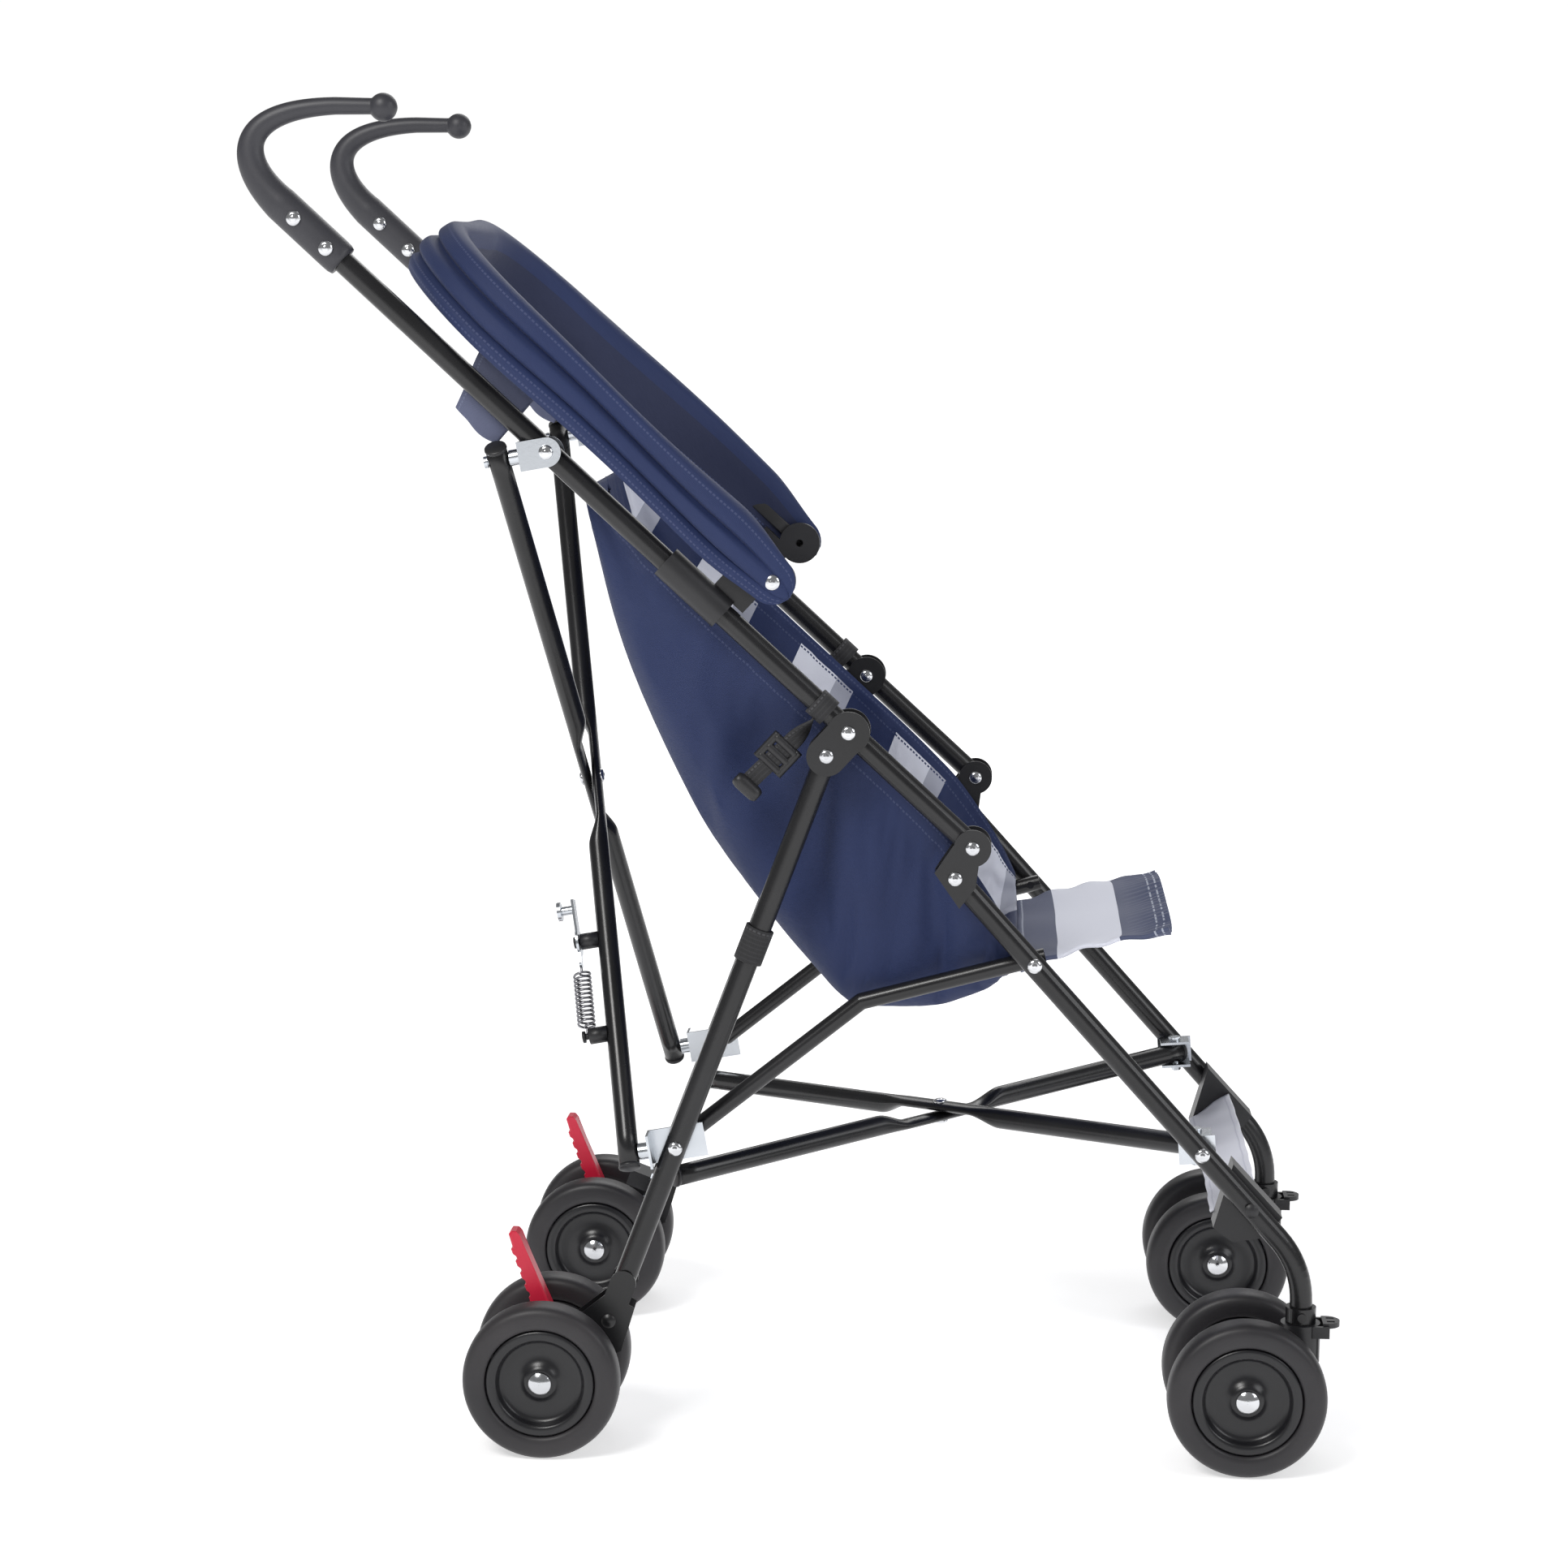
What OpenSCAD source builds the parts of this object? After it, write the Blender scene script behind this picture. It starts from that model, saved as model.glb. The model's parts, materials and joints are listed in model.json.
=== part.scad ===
// Folding umbrella stroller: two tube side frames joined by two X braces,
// a folding lock bar, a fabric seat sling and a folded-back canopy.
// X points forward, Y to the stroller's left, Z up. Sizes are in millimetres.

/* [Wheels] */
// Wheel diameter over the tyre
wheel_d = 120; // [100:1:150]
// Width of one wheel
wheel_w = 28; // [22:1:32]
// Diameter of the wheel's plastic disc inside the tyre
rim_d = 84; // [70:1:92]
// Gap between the two wheels of a pair
pair_gap = 50; // [46:1:60]
// Diameter of the wheel axles
axle_d = 8; // [6:0.5:10]
// Diameter of the hub caps
cap_d = 17; // [14:1:20]

/* [Frame tubes] */
// Distance between the rear and the front axles
wheelbase = 533; // [500:1:600]
// Distance between the centre lines of the two side frames
track = 356; // [320:1:400]
// Outer diameter of the push tubes and the legs
tube_d = 17; // [15:0.5:19]
// Wall thickness of every tube
tube_wall = 1.2; // [1:0.1:2]
// Diameter of the seat bars
bar_d = 13; // [11:0.5:14]
// Diameter of the X brace tubes
brace_d = 16; // [14:0.5:17]
// Slope of the push tubes above the floor, degrees
push_angle = 42.4; // [38:0.2:46]
// Height of the rear leg bracket's upper rivet above the floor
shoulder_z = 555.3; // [540:1:590]
// Distance of that rivet in front of the rear axle
shoulder_x = 227.4; // [215:1:240]
// Length of push tube above the shoulder rivet
push_len = 572; // [540:1:600]
// Distance from the shoulder rivet down to the knee rivet
knee_u = 126.6; // [120:1:140]
// Diameter of the rivets and pivot pins
rivet_d = 6; // [5:0.5:7]
// Diameter of the rivet heads
rivet_head_d = 11; // [9:0.5:12]
// Height of the rivet heads
rivet_head_h = 2.6; // [1.8:0.1:2.8]

/* [Handles] */
// Outer width of the grip where it holds the tube
grip_d = 27; // [24:1:30]
// Height of the grip's tip above the tube's end
hook_h = 70; // [60:1:80]
// Diameter of the ball at the grip's tip
ball_d = 21; // [18:1:24]
// Length of the grip's socket on the tube
grip_len = 62; // [50:1:70]

/* [Brackets] */
// Thickness of the steel brackets
plate_t = 2; // [1.5:0.1:2.5]
// Distance from a brace bracket's rivet to its web
web_reach = 21; // [19:0.5:24]
// Distance from a bracket's rivet to the back brace's centre line
brace_offset = 37; // [34:0.5:42]

/* [Fabric] */
// Thickness of the fabric panels
cloth_t = 5; // [4:0.5:7]
// Width of the calf flap
flap_w = 244; // [220:1:260]
// Length of the calf flap
flap_len = 112; // [90:1:130]
// Length of the folded canopy from its hinge
canopy_len = 362; // [320:1:400]
// Height of the folded canopy bundle
canopy_h = 52; // [40:1:60]
// Distance of the canopy's hinge up the push tube from the shoulder rivet
canopy_u = 117.7; // [110:0.1:125]
// Height of the canopy's hinge above the push tube
canopy_rise = 43.5; // [42:0.5:46]

/* [Clearances] */
// Running gap around a pin, on the radius
pin_gap = 0.08; // [0.02:0.01:0.1]
// Gap between faces that slide on each other
face_gap = 0.3; // [0.2:0.05:0.5]

/* [Hidden] */

tube_r = tube_d / 2;
wheel_r = wheel_d / 2;
side_y = track / 2;
wheel_y = (pair_gap + wheel_w) / 2;

// Points of one side frame, as [x, z]; u runs down the push tube from the
// shoulder rivet and v points away from it, to the rear and down
function push_point(u, v) = [
  shoulder_x + u * cos(push_angle) - v * sin(push_angle),
  shoulder_z - u * sin(push_angle) - v * cos(push_angle)
];
shoulder = push_point(0, 0);
leg_pivot = push_point(0, 24);
knee = push_point(knee_u, 0);
knee_low = push_point(knee_u + 6.4, 25.7);
front_rivet = push_point(knee_u + 95.2, 33.4);
brace_rivet = push_point(-305, 0);
rear_hub = [0, wheel_r];
front_hub = [wheelbase, wheel_r];

// The front leg runs straight to the footrest rivet, then bends upright above the caster
caster_x = wheelbase + 41.9;
caster_top = wheel_d + 4.5;
bend_r = 72;
bend_mid = [caster_x - bend_r, caster_top];
leg_slope = atan2(knee_low[1] - bend_mid[1], bend_mid[0] - knee_low[0])
  - asin(bend_r / norm(bend_mid - knee_low));
bend_start = [bend_mid[0] + bend_r * sin(leg_slope), bend_mid[1] + bend_r * cos(leg_slope)];
leg_way = (knee_low - bend_start) / norm(knee_low - bend_start);
leg_top = knee_low + 14 * leg_way;
foot_rivet = bend_start + 32 * leg_way;
floor_rivet = bend_start + 88 * leg_way;

// The rear leg ends just in front of the rear axle
leg_foot = [rear_hub[0] + 43.8, rear_hub[1] + 26.8];
rear_way = (leg_foot - leg_pivot) / norm(leg_foot - leg_pivot);
leg_rivet = leg_pivot + 323.4 * rear_way;
rear_normal = [rear_way[1], -rear_way[0]];
lock_point = leg_pivot + 437 * rear_way;

// Back brace plane: parallel to the line between its two bracket rivets
brace_way = (leg_rivet - brace_rivet) / norm(leg_rivet - brace_rivet);
brace_back = [brace_way[1], -brace_way[0]];
brace_top = brace_rivet + brace_offset * brace_back;
brace_bottom = leg_rivet + brace_offset * brace_back;
brace_span = norm(brace_bottom - brace_top);
brace_tilt = atan2(brace_way[0], -brace_way[1]);
brace_half = atan(track / brace_span);
brace_len = sqrt(track * track + brace_span * brace_span);
dent = 54;

// How much wider than the tube the end caps of a brace are
cap_lip = 1;

// Floor brace plane: from the front brackets back to the rear legs
floor_y = side_y - tube_r - plate_t - face_gap - brace_d / 2 - 4;
floor_front = [floor_rivet[0] - 3, floor_rivet[1]];
floor_rear = leg_rivet + 26 * rear_way - 12 * rear_normal;
floor_run = norm(floor_front - floor_rear);
floor_tilt = atan2(floor_front[1] - floor_rear[1], floor_front[0] - floor_rear[0]);
floor_half = atan(2 * floor_y / floor_run);
floor_len = sqrt(4 * floor_y * floor_y + floor_run * floor_run);

// Foot of the front leg: its tube runs down inside the caster, the socket sits above it
foot_len = 38;
socket_h = 12;
socket_r = tube_r + 3;
socket_z = caster_top - 4 - socket_h;
socket_pin = [caster_x, socket_z + socket_h / 2];

// Beads along one grip's hook
grip_steps = 7;

// The swivel lock's flange in front of the caster
flange_r = 10;
flange_out = 19.5;

// Reach of the whole stroller, which centres it over the origin
grip_far = min([for (i = [0 : grip_steps]) grip_path(i / grip_steps)[0] - grip_size(i / grip_steps) / 2]);
mid_x = (caster_x + flange_out + flange_r + grip_far) / 2;

module placed() {
  translate([-mid_x, 0, 0]) children();
}

// A part of one side, drawn on the left and mirrored for the right
module side(s) {
  placed() mirror([0, s < 0 ? 1 : 0, 0]) children();
}

// Upright drawing plane: its X and Y become the stroller's X and Z at depth y
module plane(y, t) {
  translate([0, y + t / 2, 0]) rotate([90, 0, 0]) linear_extrude(t) children();
}

// Pin or rod along Y at a side-view point
module cross_pin(p, y, h, d) {
  translate([p[0], y, p[1]]) rotate([90, 0, 0]) cylinder(h = h, d = d, center = true, $fn = 40);
}

// Straight rod between two points in space
module rod(a, b, d) {
  w = b - a;
  translate(a) rotate([0, acos(w[2] / norm(w)), atan2(w[1], w[0])])
    cylinder(h = norm(w), d = d, $fn = 48);
}

// Straight hollow tube in a side-view plane
module side_tube(p, q, y, d) {
  a = [p[0], y, p[1]];
  b = [q[0], y, q[1]];
  w = (b - a) / norm(b - a);
  difference() {
    rod(a, b, d);
    rod(a - w, b + w, d - 2 * tube_wall);
  }
}

// Rivet head: a low dome on the outside face
module rivet_head(p, y) {
  translate([p[0], y, p[1]]) rotate([-90, 0, 0])
    rotate_extrude($fn = 40) intersection() {
      translate([0, rivet_head_h - rivet_head_d * 0.75]) circle(r = rivet_head_d * 0.75, $fn = 80);
      square([rivet_head_d / 2, 4]);
    }
}

// ---- Side frame ----

module push_tube(s) color("#26272b") side(s) {
  difference() {
    side_tube(push_point(-push_len, 0), push_point(knee_u + 8, 0), side_y, tube_d);
    cross_pin(knee, side_y, 3 * tube_d, rivet_d + 2 * pin_gap);
    cross_pin(brace_rivet, side_y, 3 * tube_d, rivet_d + 2 * pin_gap);
    cross_pin(shoulder, side_y, 3 * tube_d, rivet_d);
  }
}

// Moulded hook grip: a socket over the tube and a tapering arc that ends in a ball
module handle_grip(s) color("#4a4a50") side(s) {
  top = push_point(-push_len, 0);
  past = push_point(-push_len + grip_len + 1, 0);
  low = push_point(-push_len + grip_len, 0);
  difference() {
    union() {
      side_rod(top, low, grip_d);
      for (i = [0 : grip_steps - 1]) hull() {
        grip_bead(i / grip_steps);
        grip_bead((i + 1) / grip_steps);
      }
      translate([grip_path(1)[0], side_y, grip_path(1)[1]]) sphere(d = ball_d, $fn = 40);
    }
    side_rod(top, past, tube_d + 2 * pin_gap);
  }
}

// Centre line of the hook: from the tube's end, back and up, then forward to the tip
function bezier(a, b, c, d, t) =
  pow(1 - t, 3) * a + 3 * t * pow(1 - t, 2) * b + 3 * t * t * (1 - t) * c + pow(t, 3) * d;
function grip_path(t) = bezier(
  push_point(-push_len, 0), push_point(-push_len - 52, 0),
  push_point(-push_len, 0) + [-34, hook_h + 8],
  push_point(-push_len, 0) + [77, hook_h], t);
function grip_size(t) = grip_d * (1 - 0.55 * t);

module grip_bead(t) {
  translate([grip_path(t)[0], side_y, grip_path(t)[1]]) sphere(d = grip_size(t), $fn = 24);
}

module side_rod(p, q, d) {
  rod([p[0], side_y, p[1]], [q[0], side_y, q[1]], d);
}

// Two oval plates and their two rivets join the rear leg to the push tube
module shoulder_bracket(s) color("#202024") side(s) {
  for (k = [-1, 1]) difference() {
    plane(side_y + k * (tube_r + face_gap + plate_t / 2), plate_t)
      oval(shoulder, leg_pivot, 16);
    cross_pin(shoulder, side_y, 3 * tube_d, rivet_d - 0.4);
    cross_pin(leg_pivot, side_y, 3 * tube_d, rivet_d - 0.4);
  }
  through_rivet(shoulder, plate_t + face_gap);
  through_rivet(leg_pivot, plate_t + face_gap);
}

module oval(p, q, r) {
  way = (q - p) / norm(q - p);
  turn = atan2(way[1], way[0]);
  translate(p) circle(r = r, $fn = 64);
  translate(q) circle(r = r - 1, $fn = 64);
  translate(p) rotate(turn) translate([0, -r + 1]) square([norm(q - p), 2 * r - 2]);
}

// Rivet through a tube, with a head beyond the plates on each face
module through_rivet(p, extra) {
  reach = tube_r + extra;
  cross_pin(p, side_y, 2 * reach, rivet_d);
  for (k = [-1, 1]) translate([0, 2 * side_y * (k < 0 ? 1 : 0), 0]) mirror([0, k < 0 ? 1 : 0, 0])
    rivet_head(p, side_y + reach);
}

// The knee bracket is fixed to the front leg and turns on the push tube's end
module knee_bracket(s) color("#202024") side(s) {
  for (k = [-1, 1]) difference() {
    plane(side_y + k * (tube_r + face_gap + plate_t / 2), plate_t) union() {
      translate(knee) circle(r = 14, $fn = 64);
      polygon([push_point(knee_u - 12, 8), push_point(knee_u - 8, 33),
        push_point(knee_u + 24, 40), push_point(knee_u + 22, 20), push_point(knee_u + 12, 6)]);
    }
    cross_pin(knee, side_y, 3 * tube_d, rivet_d - 0.4);
    cross_pin(knee_low, side_y, 3 * tube_d, rivet_d - 0.4);
  }
  through_rivet(knee, plate_t + face_gap);
  through_rivet(knee_low, plate_t + face_gap);
}

// Bent stretch of the front leg; it runs past degrees into the straight tube at each end
bend_fit = 0.1;
module leg_bend(d, past) {
  translate([bend_mid[0], side_y, bend_mid[1]]) rotate([90, 0, 0]) rotate([0, 0, -past])
    rotate_extrude(angle = 90 - leg_slope + 2 * past, $fn = 96)
      translate([bend_r, 0]) circle(d = d, $fn = 48);
}

// Front leg tube, and the moulded socket at its foot that the caster turns under
module front_leg(s) color("#26272b") side(s) {
  bore = tube_d - 2 * tube_wall;
  difference() {
    union() {
      side_rod(leg_top, bend_start, tube_d);
      leg_bend(tube_d - bend_fit, 1);
      translate([caster_x, side_y, caster_top - foot_len]) cylinder(h = foot_len, d = tube_d, $fn = 48);
      translate([caster_x, side_y, socket_z]) cylinder(h = socket_h, r = socket_r, $fn = 64);
      for (k = [-1, 1]) cross_pin(socket_pin, side_y + k * socket_r, 3, 7);
    }
    side_rod(leg_top + leg_way, bend_start, bore);
    leg_bend(bore - bend_fit, 1.5);
    translate([caster_x, side_y, caster_top - foot_len - 1]) cylinder(h = foot_len + 1, d = bore, $fn = 48);
    cross_pin(knee_low, side_y, 3 * tube_d, rivet_d);
    cross_pin(front_rivet, side_y, 3 * tube_d, rivet_d + 2 * pin_gap);
    cross_pin(floor_rivet, side_y, 3 * tube_d, rivet_d + 2 * pin_gap);
    cross_pin(foot_rivet, side_y, 3 * tube_d, 4);
  }
}

module rear_leg(s) color("#26272b") side(s) {
  difference() {
    side_tube(leg_pivot - 11 * rear_way, leg_foot, side_y, tube_d);
    cross_pin(leg_pivot, side_y, 3 * tube_d, rivet_d + 2 * pin_gap);
    cross_pin(leg_rivet, side_y, 3 * tube_d, rivet_d + 2 * pin_gap);
    cross_pin(leg_foot - 12 * rear_way, side_y, 3 * tube_d, rivet_d);
  }
}

// ---- Seat bar ----

seat_y = side_y - tube_r - plate_t - 2 * face_gap - rivet_head_h - bar_d / 2;
seat_bend = [238 + (shoulder_x - 227.4), front_rivet[1] - 35.5];

module seat_bar(s) color("#26272b") side(s) {
  back = leg_rivet + [13, 9];
  difference() {
    union() {
      side_tube(front_rivet - [-8, -2], seat_bend, seat_y, bar_d);
      translate([seat_bend[0], seat_y, seat_bend[1]]) sphere(d = bar_d, $fn = 40);
      side_tube(seat_bend, back, seat_y, bar_d);
      translate([back[0], seat_y, back[1]]) sphere(d = bar_d, $fn = 40);
    }
    cross_pin(front_rivet, side_y, 4 * tube_d, rivet_d - 0.4);
  }
  reach = tube_r + face_gap;
  inner = seat_y - bar_d / 2;
  cross_pin(front_rivet, (side_y + reach + inner) / 2, side_y + reach - inner, rivet_d);
  rivet_head(front_rivet, side_y + reach);
}

// ---- Back brace: two crossing tubes behind the seat ----

// Brace plane: X along the slope downwards, Y sideways, Z towards the rear
module brace_plane() {
  placed() translate([brace_top[0], 0, brace_top[1]])
    rotate([0, 90 - brace_tilt, 0]) mirror([0, 0, 1]) children();
}

// One brace tube of the pair; k = 1 starts at the left top
module brace_tube(k, half, len, start_y, past) {
  d = brace_d;
  translate([0, k * start_y, 0]) rotate([0, 0, -k * half]) difference() {
    union() {
      translate([-past, 0, 0]) rotate([0, 90, 0]) cylinder(h = len + 2 * past, d = d, $fn = 48);
      for (x = [-past - 2, len + past]) translate([x, 0, 0]) rotate([0, 90, 0])
        cylinder(h = 2, d = d + cap_lip, $fn = 48);
    }
    for (x = [1 - past, len / 2 + dent + 4]) translate([x, 0, 0]) rotate([0, 90, 0])
      cylinder(h = len / 2 - dent - 5 + past, d = d - 2 * tube_wall, $fn = 48);
    translate([len / 2 - dent, -d, k > 0 ? -face_gap / 2 : face_gap / 2 - d])
      cube([2 * dent, 2 * d, d]);
    for (x = [0, len]) translate([x, 0, 0]) cylinder(h = 3 * d, d = 5 + 2 * pin_gap, center = true, $fn = 32);
  }
}

module back_brace(k) color("#26272b") brace_plane() {
  brace_tube(k, brace_half, brace_len, side_y, 10);
  face = k > 0 ? -1 : 1;
  if (k > 0) translate([0, side_y, 0]) rotate([0, 0, -brace_half]) latch_studs();
  translate([brace_span / 2, 0, 0]) mirror([0, 0, face < 0 ? 1 : 0])
    translate([0, 0, brace_d / 2 - 2]) cylinder(h = 4.4, d = rivet_head_d, $fn = 40);
}

// U bracket that holds the top of a brace tube behind the push tube
module back_bracket(s) color("#c8ccd0") side(s) {
  brace_bracket(brace_rivet, 11);
  through_rivet(brace_rivet, plate_t + face_gap);
  brace_bolt(brace_top, brace_d / 2 + 2);
}

// Two cheeks beside the tube and a web across behind it
module brace_bracket(p, r) {
  turn = atan2(brace_back[1], brace_back[0]);
  for (k = [-1, 1]) difference() {
    plane(side_y + k * (tube_r + face_gap + plate_t / 2), plate_t) translate(p) rotate(turn) union() {
      circle(r = r, $fn = 48);
      translate([0, -r]) square([web_reach, 2 * r]);
    }
    cross_pin(p, side_y, 3 * tube_d, rivet_d - 0.4);
  }
  plane(side_y, tube_d + 2 * face_gap + 2 * plate_t) translate(p) rotate(turn)
    translate([web_reach - plate_t, -r]) square([plate_t, 2 * r]);
}

// Bolt from the bracket's web through the brace tube, with a spacer between them
module brace_bolt(p, beyond) {
  a = p - (brace_offset - web_reach) * brace_back;
  b = p + beyond * brace_back;
  skin = p - (brace_d / 2 + face_gap) * brace_back;
  rod([a[0], side_y, a[1]], [b[0], side_y, b[1]], 5);
  rod([a[0], side_y, a[1]], [skin[0], side_y, skin[1]], 12);
  head = p + (brace_d / 2 + face_gap) * brace_back;
  cap = p + (brace_d / 2 + 3) * brace_back;
  rod([head[0], side_y, head[1]], [cap[0], side_y, cap[1]], 9);
}

// Bracket on the rear leg: an inner plate, a wing behind the leg and the brace's spacer
module leg_bracket(s) color("#c8ccd0") side(s) {
  turn = atan2(brace_back[1], brace_back[0]);
  inner = side_y - tube_r - face_gap - plate_t / 2;
  difference() {
    plane(inner, plate_t) translate(leg_rivet) rotate(turn) union() {
      translate([-22, -13]) square([22 + web_reach, 26]);
    }
    cross_pin(leg_rivet, side_y, 3 * tube_d, rivet_d - 0.4);
  }
  plane(side_y - plate_t / 2, tube_d + plate_t + 2 * face_gap) translate(leg_rivet) rotate(turn)
    translate([web_reach - plate_t, -13]) square([plate_t, 26]);
  reach = tube_r + face_gap;
  cross_pin(leg_rivet, side_y - plate_t / 2, 2 * reach + plate_t, rivet_d);
  rivet_head(leg_rivet, side_y + reach);
  a = brace_bottom - (brace_offset - web_reach) * brace_back;
  skin = brace_bottom - (brace_d / 2 + face_gap) * brace_back;
  rod([a[0], side_y, a[1]], [skin[0], side_y, skin[1]], 13);
}

// ---- Floor brace: two crossing tubes under the seat ----

module floor_plane() {
  placed() translate([floor_front[0], 0, floor_front[1]])
    rotate([0, 180 - floor_tilt, 0]) mirror([0, 0, 1]) children();
}

module floor_brace(k) color("#26272b") floor_plane() {
  brace_tube(k, floor_half, floor_len, floor_y, 5);
}

// U bracket on the front leg that holds the floor brace on an upright bolt
module floor_bracket(s) color("#c8ccd0") side(s) {
  inner = side_y - tube_r - face_gap - plate_t / 2;
  h = brace_d + cap_lip + 2 * face_gap + 2 * plate_t;
  difference() {
    plane(inner, plate_t) translate(floor_front) rotate(floor_tilt)
      translate([-14, -h / 2]) square([28, h]);
    cross_pin(floor_rivet, side_y, 3 * tube_d, rivet_d - 0.4);
  }
  for (k = [-1, 1]) translate([floor_front[0], 0, floor_front[1]]) rotate([0, -floor_tilt, 0])
    translate([0, 0, k * (h - plate_t) / 2]) difference() {
      translate([-12, floor_y - 10, -plate_t / 2]) cube([24, inner - floor_y + 10, plate_t]);
      translate([0, floor_y, 0]) cylinder(h = 9, d = 4.6, center = true, $fn = 32);
    }
  translate([floor_front[0], floor_y, floor_front[1]]) rotate([0, -floor_tilt, 0]) {
    cylinder(h = h + 4, d = 5, center = true, $fn = 32);
    translate([0, 0, h / 2]) cylinder(h = 3, d = 10, $fn = 40);
    translate([0, 0, -h / 2 - 4]) cylinder(h = 4, d = 8, $fn = 6);
  }
  reach = tube_r + face_gap;
  cross_pin(floor_rivet, side_y - plate_t / 2, 2 * reach + plate_t, rivet_d);
  rivet_head(floor_rivet, side_y + reach);
}

// ---- Folding lock bar between the rear legs ----

lock_w = 18;
lock_y = side_y - tube_r - plate_t - 2 * face_gap - lock_w / 2;
lock_rise = 38;
lock_ang = atan(lock_rise / lock_y);
lock_len = sqrt(lock_y * lock_y + lock_rise * lock_rise);
lock_turn = atan2(rear_way[0], -rear_way[1]);

// Lock bar frame: origin at the pivot beside the leg, X inwards, Y up the leg, Z rearwards
module lock_frame(s) {
  side(s) translate([lock_point[0], lock_y, lock_point[1]]) rotate([0, -lock_turn, 0])
    multmatrix([[0, 0, -1, 0], [-1, 0, 0, 0], [0, 1, 0, 0], [0, 0, 0, 1]])
      rotate([0, 0, lock_ang]) children();
}

module lock_bar(s) color("#d2d6da") lock_frame(s) {
  z = s > 0 ? -plate_t - face_gap : 0;
  difference() {
    translate([0, -lock_w / 2, z]) cube([lock_len, lock_w, plate_t]);
    translate([0, 0, z - 1]) cylinder(h = 5, d = 5 + 2 * pin_gap, $fn = 32);
  }
  for (k = [-1, 1]) translate([10, k * (lock_w / 2 - 1) - 1, s > 0 ? z - 6 : z])
    cube([pedal_x - 15, 2, 8]);
  if (s < 0) pedal_lugs();
  translate([lock_len, 0, z]) cylinder(h = plate_t, d = lock_w, $fn = 48);
  translate([lock_len, 0, s > 0 ? z - 2.5 : plate_t]) cylinder(h = 2.5, d = 10, $fn = 40);
}

// Pivot of the release lever above the bar's face
pedal_x = lock_len - 26;
pedal_lift = plate_t + 4.3;
pedal_w = 14;

module pedal_lugs() {
  for (k = [-1, 1]) translate([pedal_x - 4, k * (pedal_w / 2 + 1.3) - 1, 1]) cube([8, 2, pedal_lift + 2]);
  translate([pedal_x, 0, pedal_lift]) rotate([90, 0, 0])
    cylinder(h = pedal_w + 4, d = 3, center = true, $fn = 32);
}

// Foot release lever on the middle of the lock bar
module lock_pedal() color("#18181a") lock_frame(-1) difference() {
  translate([pedal_x - 3, -pedal_w / 2, plate_t + 1]) {
    cube([22, pedal_w, 6]);
    translate([4, 0, 5]) cube([16, pedal_w, 18]);
  }
  translate([pedal_x, 0, pedal_lift]) rotate([90, 0, 0])
    cylinder(h = 2 * pedal_w, d = 3 + 2 * pin_gap, center = true, $fn = 32);
}

// ---- Latch behind the back brace ----

module latch_frame() {
  brace_plane() translate([0, side_y, 0]) rotate([0, 0, -brace_half]) children();
}
latch_x = brace_len * 0.72;
latch_lift = brace_d / 2 + 14;
spring_from = 26;
spring_len = 46;
spring_d = 15;
stud_x = latch_x + spring_from + spring_len + 8;

// Two spacers on the brace: the hook turns on one and the spring pulls from the other
module latch_studs() {
  for (x = [latch_x, stud_x]) translate([x, 0, brace_d / 2 - 1]) {
    cylinder(h = latch_lift - brace_d / 2 + 1 - face_gap, d = 13, $fn = 48);
    cylinder(h = latch_lift - brace_d / 2 + 5, d = 5, $fn = 32);
  }
}

module latch_hook() color("#c8ccd0") latch_frame() {
  translate([latch_x, 0, latch_lift]) difference() {
    union() {
      cylinder(h = plate_t, r = 11, $fn = 48);
      rotate(200) translate([0, -6, 0]) cube([34, 12, plate_t]);
      translate([0, -4, 0]) cube([spring_from - 8, 8, plate_t]);
      translate([spring_from - 8, 0, 0]) cylinder(h = plate_t, r = 4, $fn = 40);
    }
    translate([0, 0, -1]) cylinder(h = 5, d = 5 + 2 * pin_gap, $fn = 32);
  }
  translate([latch_x, 0, latch_lift]) rotate(200) translate([26, 0, plate_t]) {
    cylinder(h = 9, d = 7, $fn = 40);
    translate([0, 0, 9]) cylinder(h = 3, d = 15, $fn = 40);
  }
}

// Coil spring between the hook and the lower stud, as the sleeve that its turns fill
module latch_spring() color("#9aa0a6") latch_frame()
  translate([latch_x + spring_from, 0, latch_lift + plate_t / 2]) rotate([0, 90, 0]) {
    difference() {
      cylinder(h = spring_len, d = spring_d, $fn = 48);
      translate([0, 0, 2]) cylinder(h = spring_len - 4, d = spring_d - 5, $fn = 48);
    }
    translate([0, 0, -4 + face_gap]) cylinder(h = 5, d = 2, $fn = 24);
    translate([0, 0, spring_len - 1]) cylinder(h = 9 - 2.5 - face_gap, d = 2, $fn = 24);
  }

// ---- Casters and wheels ----

fork_top = socket_z - face_gap;
fork_h = 30;
fork_r = 15;
lug = [caster_x + 18, fork_top - 5];

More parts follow.
